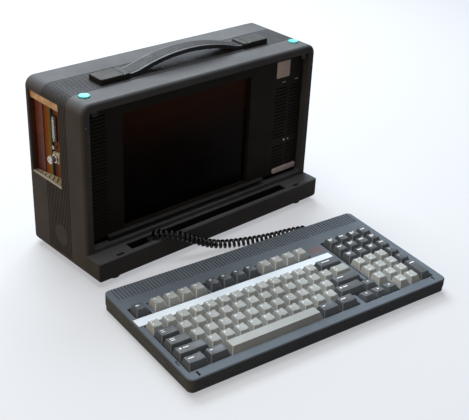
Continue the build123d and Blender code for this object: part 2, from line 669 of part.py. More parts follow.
def make_grip_grooves():
    """Short grooves across the rear of the deck, side by side over its whole width."""
    first, last = BOARD_X0 + 8, BOARD_X1 - 8
    count = int((last - first) / GRIP_PITCH)
    y0, y1 = GRIP_START * KEY_PITCH, BOARD_Y1 + 1
    groove = wedge(0, GRIP_WIDTH, y0, y1, 0, 2) - wedge(-1, GRIP_WIDTH + 1, y0 - 1, y1 + 1, -1, -GRIP_DEPTH)
    return [Pos(first + i * GRIP_PITCH, 0, 0) * groove for i in range(count + 1)]


def make_keyboard_bottom_shell():
    x0, x1, y0, y1 = BOARD_X0 + 0.8, BOARD_X1 - 0.8, BOARD_Y0 + 0.8, BOARD_Y1 - 0.8
    tray = block(x0, x1, y0, y1, BOARD_BASE, BOARD_SEAM)
    tray = fillet(tray.edges().filter_by(Axis.Z), BOARD_CORNER_R - 0.8)
    tray = chamfer(tray.edges().group_by(Axis.Z)[0], 1.2)
    tray -= block(x0 + 3, x1 - 3, y0 + 3, y1 - 3, BOARD_BASE + 2.5, BOARD_SEAM + 1)
    p = KEY_PITCH
    for x in (0.3 * p, 9.75 * p, 19.25 * p):
        for y in (-0.45 * p, 6.85 * p):
            tray += block(x - 2.5, x + 2.5, y - 2.5, y + 2.5, BOARD_BASE + 2, 12.0 + 0.023 * y)
    return on_desk(tray)


PLATE_TOP, PLATE_BOTTOM = -14.2, -15.7


def make_key_plate():
    """Steel plate that carries the key stems, with one long slot for each row of keys."""
    p = KEY_PITCH
    plate = block(-0.05 * p, 19.57 * p, -0.56 * p, 7.0 * p, PLATE_BOTTOM, PLATE_TOP)
    rows = [(0, 0.3, 19.4), (1, 0.3, 19.4), (2, 0.3, 19.4), (3, 0.3, 19.4), (4, 0.3, 19.4),
            (5, 15.6, 19.4), (6, 0.3, 19.4)]
    for v, u0, u1 in rows:
        plate -= block(u0 * p, u1 * p, v * p - 3, v * p + 3, PLATE_BOTTOM - 1, PLATE_TOP + 1)
    plate -= block(18.8 * p, 19.2 * p, 0, p, PLATE_BOTTOM - 1, PLATE_TOP + 1)
    return on_keys(plate)


def make_keyboard_board():
    """Circuit board under the key plate, lying on the floor of the bottom shell."""
    p = KEY_PITCH
    board = block(0.6 * p, 18.9 * p, -0.1 * p, 6.5 * p, BOARD_BASE + 2.5, BOARD_BASE + 4.1)
    board += block(15.5 * p, 17.5 * p, 5.2 * p, 5.8 * p, BOARD_BASE + 4.1, BOARD_BASE + 6.0)
    return on_desk(board)


def make_label_strip():
    """Light strip on the deck between the number row and the function keys."""
    p = KEY_PITCH
    strip = block(-0.33 * p, 15.09 * p, 4.57 * p, 5.32 * p, -DECK_DROP + 0.01, -DECK_DROP + 0.8)
    return on_keys(chamfer(strip.edges().group_by(Axis.Z)[-1], 0.3))


def make_keyboard_feet():
    feet = []
    for x in (12.0, 364.0):
        for y in (-6.0, 150.0):
            feet.append(on_desk(rod_z(6.0, x, y, 0, BOARD_BASE)))
    return Compound(feet)


SLEEVE_FLANGE = 2.4


def make_cord_sleeve():
    """Strain relief where the curly cord enters the rear of the keyboard."""
    last = curl_path()[-1]
    tip, inward = last @ 1, last % 1
    rear = Vector(0, 1, 0).rotate(Axis.Z, BOARD_TURN)
    corner = Vector(BOARD_AT[0], BOARD_AT[1], 0)
    reach = ((tip - corner).dot(rear) - BOARD_Y1) / -inward.dot(rear)
    foot = tip + inward * reach
    flange = extrude(Plane(origin=foot, z_dir=rear) * RegularPolygon(6.6, BOOT_SIDES), amount=SLEEVE_FLANGE)
    sunk = SLEEVE_FLANGE / -inward.dot(rear) * 0.5
    return boot(foot - inward * sunk, tip, 4.6) + flange


# ---------------------------------------------------------------- the keys

def keycap(width, depth=1.0, dished=True):
    """One cap on its stem, its top at Z = 0: sloping sides and a hollow across the top.

    It is what two outlines have in common: the front view, whose top sags in an arc, carried
    from front to back, and the side view, which leans back a little, carried across."""
    half_w, half_d = (width * KEY_PITCH - KEY_GAP) / 2, (depth * KEY_PITCH - KEY_GAP) / 2
    top_w = half_w - CAP_SLOPE_X
    top_front, top_back = -half_d + CAP_SLOPE_FRONT, half_d - CAP_SLOPE_BACK
    top = ThreePointArc((-top_w, 0), (0, -DISH), (top_w, 0)) if dished else Line((-top_w, 0), (top_w, 0))
    sides = Polyline((top_w, 0), (half_w, -CAP_H), (-half_w, -CAP_H), (-top_w, 0))
    front_view = make_face(Wire([top] + list(sides.edges())))
    side_view = make_face(Polyline((-half_d, -CAP_H), (half_d, -CAP_H), (top_back, 0), (top_front, 0),
                                   close=True))
    cap = extrude(Plane.XZ * front_view, amount=half_d, both=True)
    cap &= extrude(Plane.YZ * side_view, amount=half_w, both=True)
    return cap + block(-2, 2, -2, 2, STEM_END, -CAP_H + 0.5)


def low_keycap():
    """Lower cap of a cursor key: its plain top falls a little to the back."""
    half = (KEY_PITCH - KEY_GAP) / 2
    top = half - LOW_CAP_SLOPE_X
    across = make_face(Polyline((-half, -CAP_H), (half, -CAP_H), (top, 0), (-top, 0), close=True))
    along = make_face(Polyline((-half, -CAP_H), (half, -CAP_H), (half - LOW_CAP_SLOPE_BACK, LOW_CAP_BACK),
                               (-half + CAP_SLOPE_FRONT, LOW_CAP_FRONT), close=True))
    cap = extrude(Plane.XZ * across, amount=half, both=True)
    cap &= extrude(Plane.YZ * along, amount=half, both=True)
    return cap + block(-2, 2, -2, 2, STEM_END, -CAP_H + 0.5)


def key_row(first, v, count, width=1.0):
    return [(first + i, v, width) for i in range(count)]


FUNCTION_U = 1.842
# node name: list of keys, each with its middle in key pitches across and back, and its width
KEYS = {
    "key_escape": [(0.55, 6, 1.0)],
    "keys_f1_to_f4": key_row(FUNCTION_U, 6, 4),
    "keys_f5_to_f8": key_row(FUNCTION_U + 4.15, 6, 4),
    "keys_f9_to_f12": key_row(FUNCTION_U + 8.31, 6, 4),
    "keys_number_row": key_row(0.5, 4, 13),
    "key_backspace": [(14.0, 4, 2.0)],
    "key_tab": [(0.75, 3, 1.5)],
    "keys_upper_letters": key_row(2.0, 3, 12) + [(14.25, 3, 1.5)],
    "key_caps_lock": [(0.875, 2, 1.75)],
    "keys_home_letters": key_row(2.25, 2, 11),
    "key_enter": [(13.875, 2, 2.25)],
    "key_shift_left": [(1.125, 1, 2.25)],
    "keys_lower_letters": key_row(2.75, 1, 10),
    "key_shift_right": [(13.375, 1, 2.25)],
    "keys_control_and_alt": [(0.75, 0, 1.5), (2.25, 0, 1.5), (10.75, 0, 1.5), (12.25, 0, 1.5)],
    "keys_cursor": [(14.0, 0, 1.0), (15.0, 0, 1.0), (16.0, 0, 1.0), (15.0, 1, 1.0)],
    "keys_navigation": [(16.0 + i, v, 1.0) for v in (4, 5, 6) for i in range(4)],
    "keys_keypad_numbers": ([(16.0 + i, v, 1.0) for v in (1, 2, 3) for i in range(3)]
                            + [(17.0, 0, 1.0), (18.0, 0, 1.0)]),
    "keys_keypad_operators": [(19.0, 3, 1.0), (19.0, 2, 1.0)],
}


def make_keys(places, cap=None):
    caps = {} if cap is None else {1.0: cap}
    keys = []
    for u, v, width in places:
        if width not in caps:
            caps[width] = keycap(width)
        keys.append(on_keys(Pos(u * KEY_PITCH, v * KEY_PITCH, 0) * caps[width]))
    return Compound(keys) if len(keys) > 1 else keys[0]


def make_space_bar():
    """Long bar with a plain top, its front edge rounded for the thumb."""
    bar = keycap(7.0, dished=False)
    front = [e for e in bar.edges().filter_by(Axis.X) if abs(e.center().Z) < 0.1]
    return on_keys(Pos(6.5 * KEY_PITCH, 0, 0) * fillet(sorted(front, key=lambda e: e.center().Y)[0], 1.5))


def make_keypad_enter():
    return on_keys(Pos(19.0 * KEY_PITCH, 0.5 * KEY_PITCH, 0) * keycap(1.0, depth=2.0))


# ---------------------------------------------------------------- everything together

def make_nodes():
    nodes = {
        "main_housing": make_main_housing(),
        "rear_cover": make_rear_cover(),
        "side_disc": make_side_disc(),
        "unit_feet": make_unit_feet(),
        "handle_strap": make_handle_strap(),
        "handle_end_left": make_handle_end(-1),
        "handle_end_right": make_handle_end(1),
        "latch_button_left": make_latch_button(-1),
        "latch_button_right": make_latch_button(1),
        "latch_hook_left": make_latch_hook(-1),
        "latch_hook_right": make_latch_hook(1),
        "display_bezel": make_display_bezel(),
        "display_back_cover": make_display_back_cover(),
        "screen_filter": make_screen_filter(),
        "plasma_panel": make_plasma_panel(),
        "display_lip": make_display_lip(),
        "indicator_leds": make_indicator_leds(),
        "display_hinge_pins": make_display_hinge_pins(),
        "card_cage": make_card_cage(),
        "expansion_card_front": make_card(66.0, 10, 208.0),
        "expansion_card_rear": make_card(86.0, 15, 208.0),
        "card_connector": make_card_connector(),
        "slot_cover": make_slot_cover(),
        "main_board": make_main_board(),
        "power_supply": make_power_supply(),
        "power_switch": make_power_switch(),
        "disk_drive": make_disk_drive(),
        "drive_lever": make_drive_lever(),
        "keyboard_socket": make_keyboard_socket(),
        "cord_plug": make_cord_plug(),
        "curly_cord": make_curly_cord(),
        "cord_sleeve": make_cord_sleeve(),
        "keyboard_top_shell": make_keyboard_top_shell(),
        "keyboard_bottom_shell": make_keyboard_bottom_shell(),
        "keyboard_feet": make_keyboard_feet(),
        "key_plate": make_key_plate(),
        "keyboard_board": make_keyboard_board(),
        "label_strip": make_label_strip(),
        "key_space": make_space_bar(),
        "key_keypad_enter": make_keypad_enter(),
    }
    for name, places in KEYS.items():
        nodes[name] = make_keys(places, low_keycap() if name == "keys_cursor" else None)
    return nodes


def middle_of_footprint(nodes):
    boxes = [shape.bounding_box() for name, shape in nodes.items() if not name.startswith("curly_")
             and name != "cord_plug"]
    x0, x1 = min(b.min.X for b in boxes), max(b.max.X for b in boxes)
    y0, y1 = min(b.min.Y for b in boxes), max(b.max.Y for b in boxes)
    return (x0 + x1) / 2, (y0 + y1) / 2


all_nodes = make_nodes()
middle_x, middle_y = middle_of_footprint(all_nodes)
print("middle of the footprint: %.3f, %.3f" % (middle_x, middle_y))
os.makedirs("parts", exist_ok=True)
for node_name, node_shape in all_nodes.items():
    export_step(Pos(-middle_x, -middle_y, 0) * node_shape, "parts/%s.step" % node_name)
print("nodes:", len(all_nodes))
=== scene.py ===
import math
import bmesh
import bpy
from mathutils import Matrix, Vector


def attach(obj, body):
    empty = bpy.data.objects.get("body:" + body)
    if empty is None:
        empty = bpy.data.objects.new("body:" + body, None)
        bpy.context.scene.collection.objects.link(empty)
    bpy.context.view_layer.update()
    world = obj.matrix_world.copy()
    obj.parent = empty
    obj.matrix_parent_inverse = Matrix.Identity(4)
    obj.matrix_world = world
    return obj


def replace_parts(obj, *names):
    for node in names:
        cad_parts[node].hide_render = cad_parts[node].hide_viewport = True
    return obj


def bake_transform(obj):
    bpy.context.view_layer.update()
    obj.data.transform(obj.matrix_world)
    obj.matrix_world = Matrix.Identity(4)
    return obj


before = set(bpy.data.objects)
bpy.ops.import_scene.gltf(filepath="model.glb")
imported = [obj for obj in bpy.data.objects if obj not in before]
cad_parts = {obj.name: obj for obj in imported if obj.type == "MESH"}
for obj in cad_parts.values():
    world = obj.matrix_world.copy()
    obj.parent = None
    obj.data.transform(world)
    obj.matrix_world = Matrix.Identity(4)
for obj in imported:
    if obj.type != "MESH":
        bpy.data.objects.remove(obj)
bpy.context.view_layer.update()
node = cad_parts

# The photographer's place: left of the front, looking down at the desk by thirty degrees.
# The shift gives the photograph's framing, which was cut out of a larger picture.
CAMERA_PLACE = (-0.7454, -0.7774, 0.6712)
CAMERA_TURN = (59.9025, -3.5403, -44.0797)
camera_data = bpy.data.cameras.new("camera")
camera_data.sensor_width = 36.0
camera_data.lens = 73.11
camera_data.shift_x = -0.0813
camera_data.shift_y = 0.0515
camera = bpy.data.objects.new("camera", camera_data)
camera.location = CAMERA_PLACE
camera.rotation_euler = [math.radians(angle) for angle in CAMERA_TURN]
bpy.context.scene.collection.objects.link(camera)
bpy.context.scene.camera = camera


# Curly cord between the case and the keyboard: a round wire in black vinyl, wound into
# thirty-three curls that lie in a long sag over the front ledge and along the desk.
MIDDLE = Vector((-20.974, -90.280, 0.0))      # the frame's origin, in the case's own millimetres
WIRE_D = 0.004
CURL_R = 0.0044
CURLS = 33.25
START_ANGLE = 270.0
STRAIGHT_END = 0.005
STEPS_PER_CURL = 22
CORD_ROUTE = [
    (-103.0, -15.5, 39.9), (-95.0, -20.5, 40.8), (-86.0, -27.0, 40.8), (-75.5, -34.0, 37.8),
    (-63.0, -39.5, 31.5), (-50.0, -43.0, 24.0), (-36.5, -46.0, 17.0), (-22.0, -49.5, 11.4),
    (-4.5, -54.5, 8.2), (16.0, -62.0, 7.2), (38.0, -70.5, 7.0), (60.0, -77.0, 7.0),
    (80.0, -81.5, 7.2), (93.0, -85.6, 7.5), (104.0, -90.0, 7.6)]


def in_frame(x, y, z):
    """A point of the case, in its own millimetres from the front rim, in the frame's metres."""
    return (Vector((x, y, z)) - MIDDLE) / 1000


def drawn_line(name, points, kind, order=3):
    """A curve object of one open spline through or along the points."""
    line = bpy.data.curves.new(name, "CURVE")
    line.dimensions = "3D"
    line.resolution_u = 24
    spline = line.splines.new(kind)
    spline.points.add(len(points) - 1)
    for place, point in zip(spline.points, points):
        place.co = (*point, 1.0)
    if kind == "NURBS":
        spline.order_u = order
        spline.use_endpoint_u = True
    drawn = bpy.data.objects.new(name, line)
    bpy.context.scene.collection.objects.link(drawn)
    return drawn


def points_along(curve_object):
    """The points of a bare curve as Blender draws it."""
    graph = bpy.context.evaluated_depsgraph_get()
    mesh = bpy.data.meshes.new_from_object(curve_object.evaluated_get(graph))
    points = [vertex.co.copy() for vertex in mesh.vertices]
    bpy.data.meshes.remove(mesh)
    return points


def curled(route, radius, curls, start_angle, steps):
    """Points of a wire going round the route as it runs along it, with a frame that doesn't twist."""
    lengths = [0.0]
    for before, after in zip(route, route[1:]):
        lengths.append(lengths[-1] + (after - before).length)
    side = Vector((0, 0, 1))
    sides = []
    for i in range(len(route)):
        ahead = (route[min(i + 1, len(route) - 1)] - route[max(i - 1, 0)]).normalized()
        side = (side - ahead * side.dot(ahead)).normalized()
        sides.append((side.copy(), ahead.cross(side)))
    wire = []
    span = 0
    for step in range(steps + 1):
        reached = lengths[-1] * step / steps
        while span < len(route) - 2 and lengths[span + 1] < reached:
            span += 1
        part = (reached - lengths[span]) / (lengths[span + 1] - lengths[span])
        middle = route[span].lerp(route[span + 1], part)
        across = sides[span][0].lerp(sides[span + 1][0], part)
        other = sides[span][1].lerp(sides[span + 1][1], part)
        turn = math.radians(start_angle + 360 * curls * step / steps)
        wire.append(middle + radius * (across * math.cos(turn) + other * math.sin(turn)))
    return wire


route_line = drawn_line("cord_route", [in_frame(*point) for point in CORD_ROUTE], "NURBS")
route_points = points_along(route_line)
bpy.data.objects.remove(route_line)
wire = curled(route_points, CURL_R, CURLS, START_ANGLE, int(CURLS * STEPS_PER_CURL))
wire_start = wire[0] - (wire[1] - wire[0]).normalized() * STRAIGHT_END
wire_end = wire[-1] + (wire[-1] - wire[-2]).normalized() * STRAIGHT_END
wire = [wire_start] + wire + [wire_end]
curly_cord = drawn_line("keyboard_cord", wire, "POLY")
curly_cord.data.bevel_depth = WIRE_D / 2
curly_cord.data.bevel_resolution = 3
curly_cord.data.use_fill_caps = True
bpy.ops.object.select_all(action="DESELECT")
curly_cord.select_set(True)
bpy.context.view_layer.objects.active = curly_cord
bpy.ops.object.convert(target="MESH")
for face in curly_cord.data.polygons:
    face.use_smooth = True


def new_material(name, colour, roughness, **sockets):
    """A material with its plain values set on the shader itself, and its parts for adding patterns."""
    made = bpy.data.materials.new(name)
    made.use_nodes = True
    shader = made.node_tree.nodes["Principled BSDF"]
    shader.inputs["Base Color"].default_value = (*colour, 1.0)
    shader.inputs["Roughness"].default_value = roughness
    for socket, value in sockets.items():
        shader.inputs[socket.replace("_", " ")].default_value = value
    return made


def pattern_node(material, kind, **sockets):
    """A texture or shader helper node in the material, with its named sockets set."""
    made = material.node_tree.nodes.new(kind)
    for socket, value in sockets.items():
        made.inputs[socket.replace("_", " ")].default_value = value
    return made


def object_place(material, scale=(1, 1, 1)):
    """Object coordinates through a Mapping node, which stretches a pattern along an axis."""
    nodes, links = material.node_tree.nodes, material.node_tree.links
    mapping = nodes.get("place")
    if mapping is None:
        place = nodes.new("ShaderNodeTexCoord")
        mapping = nodes.new("ShaderNodeMapping")
        mapping.name = "place"
        links.new(place.outputs["Object"], mapping.inputs["Vector"])
        mapping.inputs["Scale"].default_value = scale
    return mapping.outputs["Vector"]


def noise(material, scale, detail=2.0, stretch=(1, 1, 1)):
    """The noise value at a pattern scale, in cells to the metre."""
    made = pattern_node(material, "ShaderNodeTexNoise", Scale=scale, Detail=detail)
    material.node_tree.links.new(object_place(material, stretch), made.inputs["Vector"])
    return made.outputs["Fac"]


def ramp(material, value, stops):
    """A colour ramp over the value; each stop is a place from 0 to 1 and a colour."""
    made = material.node_tree.nodes.new("ShaderNodeValToRGB")
    while len(made.color_ramp.elements) < len(stops):
        made.color_ramp.elements.new(0.5)
    for element, (place, colour) in zip(made.color_ramp.elements, stops):
        element.position = place
        element.color = (*colour, 1.0)
    material.node_tree.links.new(value, made.inputs["Fac"])
    return made.outputs["Color"]


def shade(colour, factor):
    """The colour made darker or lighter by the factor."""
    return tuple(min(1.0, channel * factor) for channel in colour)


def to_range(material, value, low, high, start=0.3, end=0.7):
    """The value taken from start..end to low..high, and held there outside."""
    made = pattern_node(material, "ShaderNodeMapRange", From_Min=start, From_Max=end, To_Min=low, To_Max=high)
    material.node_tree.links.new(value, made.inputs["Value"])
    return made.outputs["Result"]


def connect(material, value, socket):
    """Links a pattern's value to a socket of the material's shader."""
    shader = material.node_tree.nodes["Principled BSDF"]
    material.node_tree.links.new(value, shader.inputs[socket])


def bumps(material, value, height, edge_radius=0.0):
    """Raises the surface by the pattern; edge_radius rounds sharp edges in the shading."""
    nodes, links = material.node_tree.nodes, material.node_tree.links
    bump = nodes.new("ShaderNodeBump")
    bump.inputs["Strength"].default_value = 1.0
    bump.inputs["Distance"].default_value = height
    links.new(value, bump.inputs["Height"])
    if edge_radius:
        edge = nodes.new("ShaderNodeBevel")
        edge.inputs["Radius"].default_value = edge_radius
        links.new(edge.outputs["Normal"], bump.inputs["Normal"])
    connect(material, bump.outputs["Normal"], "Normal")


vinyl = new_material("cord_vinyl", (0.005, 0.005, 0.006), 0.17, Specular_IOR_Level=0.24)
connect(vinyl, ramp(vinyl, noise(vinyl, 90), [(0.35, (0.004, 0.004, 0.005)), (0.7, (0.009, 0.008, 0.009))]),
        "Base Color")
connect(vinyl, to_range(vinyl, noise(vinyl, 300), 0.14, 0.21), "Roughness")
bumps(vinyl, noise(vinyl, 900), 0.00004)
curly_cord.data.materials.append(vinyl)
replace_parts(curly_cord, "curly_cord")
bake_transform(curly_cord)


# Cord plug in its socket on the floor of the front pan, and the sleeve in the keyboard's rear:
# black vinyl mouldings with the cord's own finish, a little duller from handling.
plug_vinyl = new_material("plug_vinyl", (0.010, 0.010, 0.011), 0.5, Specular_IOR_Level=0.25)
connect(plug_vinyl, ramp(plug_vinyl, noise(plug_vinyl, 120), [(0.35, (0.007, 0.007, 0.008)),
                                                              (0.7, (0.015, 0.014, 0.015))]), "Base Color")
connect(plug_vinyl, to_range(plug_vinyl, noise(plug_vinyl, 260), 0.42, 0.58), "Roughness")
bumps(plug_vinyl, noise(plug_vinyl, 1200), 0.00005, edge_radius=0.0004)


def give(names, material):
    """Gives the CAD nodes of these names the material."""
    for name in names:
        node[name].data.materials.clear()
        node[name].data.materials.append(material)


give(["cord_plug", "cord_sleeve", "keyboard_socket"], plug_vinyl)


# Floor and backdrop: a plain pale sweep that takes the object's shadow.
# The camera, mirrors and glass see it pale to its far edge; the light that it throws back is dimmer.
FLOOR_COLOUR = (0.30, 0.305, 0.315)
FLOOR_GLOW = (0.80, 0.82, 0.86)
FLOOR_GLOW_STRENGTH = 0.50
FLOOR_TO_LIGHT = (0.12, 0.085, 0.06)
FLOOR_SIZE = 14.0
FLOOR_HEIGHT = -0.0003


def seen_directly(nodes, links):
    """One for rays of the camera, of gloss and through clear parts, and nought for the light's own."""
    rays = nodes.new("ShaderNodeLightPath")
    direct = rays.outputs["Is Camera Ray"]
    for kind in ("Is Glossy Ray", "Is Transmission Ray"):
        larger = nodes.new("ShaderNodeMath")
        larger.operation = "MAXIMUM"
        links.new(direct, larger.inputs[0])
        links.new(rays.outputs[kind], larger.inputs[1])
        direct = larger.outputs["Value"]
    return direct


bpy.ops.object.select_all(action="DESELECT")
bpy.ops.mesh.primitive_plane_add(size=FLOOR_SIZE, location=(0, 0, FLOOR_HEIGHT))
floor = bpy.context.active_object
floor.name = "floor"
floor_paint = new_material("floor_paint", FLOOR_COLOUR, 0.9, Specular_IOR_Level=0.1,
                           Emission_Color=(*FLOOR_GLOW, 1.0), Emission_Strength=FLOOR_GLOW_STRENGTH)
floor_nodes, floor_links = floor_paint.node_tree.nodes, floor_paint.node_tree.links
dim = floor_nodes.new("ShaderNodeBsdfDiffuse")
dim.inputs["Color"].default_value = (*FLOOR_TO_LIGHT, 1.0)
pale_or_dim = floor_nodes.new("ShaderNodeMixShader")
floor_links.new(seen_directly(floor_nodes, floor_links), pale_or_dim.inputs["Fac"])
floor_links.new(dim.outputs["BSDF"], pale_or_dim.inputs[1])
floor_links.new(floor_nodes["Principled BSDF"].outputs["BSDF"], pale_or_dim.inputs[2])
floor_links.new(pale_or_dim.outputs["Shader"], floor_nodes["Material Output"].inputs["Surface"])
floor.data.materials.append(floor_paint)


# Studio light: an even pale surround, a broad lamp above and behind the case as a window
# would be, one straight above, and two weak ones that open the shadows: warm on the left
# and neutral at the front.
SURROUND_SEEN = (0.86, 0.88, 0.91)
SURROUND_LIGHT = (1.0, 0.92, 0.84)
SURROUND_STRENGTH = 0.065
world = bpy.data.worlds.new("studio")
world.use_nodes = True
bpy.context.scene.world = world
world_nodes, world_links = world.node_tree.nodes, world.node_tree.links
world_nodes.clear()
seen = world_nodes.new("ShaderNodeBackground")
seen.inputs["Color"].default_value = (*SURROUND_SEEN, 1.0)
lights_up = world_nodes.new("ShaderNodeBackground")
lights_up.inputs["Color"].default_value = (*SURROUND_LIGHT, 1.0)
lights_up.inputs["Strength"].default_value = SURROUND_STRENGTH
either = world_nodes.new("ShaderNodeMixShader")
world_out = world_nodes.new("ShaderNodeOutputWorld")
world_links.new(seen_directly(world_nodes, world_links), either.inputs["Fac"])
world_links.new(lights_up.outputs["Background"], either.inputs[1])
world_links.new(seen.outputs["Background"], either.inputs[2])
world_links.new(either.outputs["Shader"], world_out.inputs["Surface"])
bpy.context.scene.view_settings.view_transform = "Standard"


def add_lamp(name, place, aim, size, power, colour):
    """A flat lamp at a place, turned to what it is aimed at; size in metres and power in watts."""
    lamp_data = bpy.data.lights.new(name, "AREA")
    lamp_data.shape = "RECTANGLE"
    lamp_data.size, lamp_data.size_y = size
    lamp_data.energy = power
    lamp_data.color = colour
    lamp = bpy.data.objects.new(name, lamp_data)
    lamp.location = place
    lamp.rotation_euler = (Vector(aim) - Vector(place)).to_track_quat("-Z", "Y").to_euler()
    bpy.context.scene.collection.objects.link(lamp)


add_lamp("window_lamp", (0.5, 1.3, 1.5), (0, 0, 0.1), (1.6, 1.1), 72.0, (0.87, 0.95, 1.0))
add_lamp("side_lamp", (-1.9, 0.0, 0.8), (0, 0, 0.1), (1.2, 1.0), 9.5, (1.0, 0.63, 0.28))
add_lamp("front_lamp", (-1.0, -1.8, 1.0), (0, 0, 0.1), (1.2, 1.0), 1.5, (0.92, 0.96, 1.0))
add_lamp("top_lamp", (-0.1, 0.2, 1.7), (0, -0.1, 0.1), (1.0, 0.8), 18.5, (0.95, 0.98, 1.0))


# Case mouldings: front housing with its ribs, rear shell, side disc and the display's lip.
# Charcoal ABS with a fine spark-eroded grain; its edges are painted paler, as wear from handling and as a painted
# highlight where the rounded edges catch the light.
CASE_COLOUR = (0.088, 0.090, 0.096)


def moulded(name, colour, roughness, grain_height=0.00006, edge_radius=0.0006, edge_wear_and_highlight=1.0, shine=0.03):
    """Moulded plastic: a cloudy colour, fine grain, edges rounded by the tool and painted paler, as wear and as a
    painted highlight.
    """
    made = new_material(name, colour, roughness, Specular_IOR_Level=shine)
    nodes, links = made.node_tree.nodes, made.node_tree.links
    dark = shade(colour, 0.86)
    surface = ramp(made, noise(made, 14, 6.0), [(0.32, dark), (0.5, colour), (0.72, shade(colour, 1.14))])
    bumps(made, noise(made, 1500, 1.0), grain_height, edge_radius)
    # Edges painted paler by the factor: partly wear, partly a painted highlight where the light would catch them.
    if edge_wear_and_highlight > 1.0:
        turned = nodes.new("ShaderNodeVectorMath")
        turned.operation = "DOT_PRODUCT"
        links.new(next(n for n in nodes if n.type == "BEVEL").outputs["Normal"], turned.inputs[0])
        links.new(nodes.new("ShaderNodeNewGeometry").outputs["Normal"], turned.inputs[1])
        wear_and_highlight_edges = to_range(made, turned.outputs["Value"], 1.0, 0.0, 0.82, 0.985)
        mix = nodes.new("ShaderNodeMix")
        mix.data_type = "RGBA"
        links.new(wear_and_highlight_edges, mix.inputs["Factor"])
        links.new(surface, mix.inputs["A"])
        mix.inputs["B"].default_value = (*shade(colour, edge_wear_and_highlight), 1.0)
        surface = mix.outputs["Result"]
    connect(made, surface, "Base Color")
    connect(made, to_range(made, noise(made, 45, 3.0), roughness - 0.07, roughness + 0.08), "Roughness")
    return made


case_plastic = moulded("case_plastic", CASE_COLOUR, 0.50, edge_wear_and_highlight=1.55)
give(["main_housing", "rear_cover", "side_disc"], case_plastic)
give(["display_lip"], moulded("lip_plastic", (0.050, 0.050, 0.053), 0.5, edge_wear_and_highlight=1.7))


# Feet under the case and the keyboard: soft black rubber, greyed by dust.
foot_rubber = moulded("foot_rubber", (0.028, 0.028, 0.028), 0.8)
give(["unit_feet", "keyboard_feet"], foot_rubber)


# Carrying strap: black rubber over a spring-steel band, with long grooves for grip. Its ends
# slide in two black caps that are screwed to the case's top.
strap_rubber = moulded("strap_rubber", (0.026, 0.026, 0.029), 0.45, edge_radius=0.0004, edge_wear_and_highlight=1.3, shine=0.12)
give(["handle_strap"], strap_rubber)
end_plastic = moulded("strap_end_plastic", (0.021, 0.020, 0.019), 0.42, edge_wear_and_highlight=1.8, shine=0.07)
give(["handle_end_left", "handle_end_right"], end_plastic)


# Latch buttons in the case's top: turquoise caps with a shallow hollow for the thumb, on a
# square collar. The hooks that they draw back are blackened steel.
BUTTON_COLOUR = (0.06, 0.56, 0.52)
BUTTON_R = 0.007
BUTTON_TALL = 0.0052
BUTTON_TOP = 0.2378
COLLAR_HALF = 0.008


def pick_faces(piece, test):
    """In edit mode, selects the faces that pass the test, and nothing else."""
    bpy.context.tool_settings.mesh_select_mode = (False, False, True)
    bpy.ops.mesh.select_all(action="DESELECT")
    form = bmesh.from_edit_mesh(piece.data)
    for face in form.faces:
        face.select_set(bool(test(face)))
    bmesh.update_edit_mesh(piece.data)


def pick_edges(piece, test):
    """In edit mode, selects the edges whose two ends pass the test, and nothing else."""
    bpy.context.tool_settings.mesh_select_mode = (False, True, False)
    bpy.ops.mesh.select_all(action="DESELECT")
    form = bmesh.from_edit_mesh(piece.data)
    for edge in form.edges:
        edge.select_set(bool(test(edge.verts[0].co, edge.verts[1].co)))
    bmesh.update_edit_mesh(piece.data)


def soften(piece, test, radius, segments=2):
    """In edit mode, rounds over the edges whose two ends pass the test."""
    pick_edges(piece, test)
    bpy.ops.mesh.bevel(offset=radius, segments=segments, affect="EDGES")


def pick_vertices(piece, test):
    """In edit mode, selects the points that pass the test, and nothing else."""
    bpy.context.tool_settings.mesh_select_mode = (True, False, False)
    bpy.ops.mesh.select_all(action="DESELECT")
    form = bmesh.from_edit_mesh(piece.data)
    for vertex in form.verts:
        vertex.select_set(bool(test(vertex)))
    bmesh.update_edit_mesh(piece.data)


def block_in_edit(name, low, high):
    """A new block between two corners, left in edit mode with nothing selected."""
    bpy.ops.object.select_all(action="DESELECT")
    bpy.ops.mesh.primitive_cube_add(size=1.0, location=(Vector(low) + Vector(high)) / 2)
    piece = bpy.context.active_object
    piece.name = name
    piece.scale = Vector(high) - Vector(low)
    bpy.ops.object.transform_apply(location=True, rotation=True, scale=True)
    bpy.ops.object.mode_set(mode="EDIT")
    bpy.ops.mesh.select_all(action="DESELECT")
    return piece


def rod_in_edit(name, middle, direction, radius, length, sides=32):
    """A new rod along a direction, left in edit mode with nothing selected."""
    bpy.ops.object.select_all(action="DESELECT")
    turn = Vector(direction).to_track_quat("Z", "Y").to_euler()
    bpy.ops.mesh.primitive_cylinder_add(vertices=sides, radius=radius, depth=length, location=middle, rotation=turn)
    piece = bpy.context.active_object
    piece.name = name
    bpy.ops.object.transform_apply(location=True, rotation=True, scale=True)
    bpy.ops.object.mode_set(mode="EDIT")
    bpy.ops.mesh.select_all(action="DESELECT")
    return piece


def number_faces(piece, number, test=lambda face: True):
    """In edit mode, gives the faces that pass the test the number of their material."""
    form = bmesh.from_edit_mesh(piece.data)
    for face in form.faces:
        if test(face):
            face.material_index = number


def coat(piece, materials):
    """Gives a piece its materials in place of the ones it has, each face keeping its number."""
    numbers = [face.material_index for face in piece.data.polygons]
    piece.data.materials.clear()
    for material in materials:
        piece.data.materials.append(material)
    for face, number in zip(piece.data.polygons, numbers):
        face.material_index = min(number, len(materials) - 1)


def finished(pieces, name, materials, body, angle=35):
    """Leaves edit mode, joins the pieces into one, smooths it and hangs it on its body."""
    if bpy.context.mode != "OBJECT":
        bpy.ops.object.mode_set(mode="OBJECT")
    bpy.ops.object.select_all(action="DESELECT")
    for piece in pieces:
        piece.select_set(True)
    bpy.context.view_layer.objects.active = pieces[0]
    if len(pieces) > 1:
        bpy.ops.object.join()
    pieces[0].name = name
    bpy.ops.object.shade_smooth_by_angle(angle=math.radians(angle))
    coat(pieces[0], materials)
    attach(pieces[0], body)
    return pieces[0]


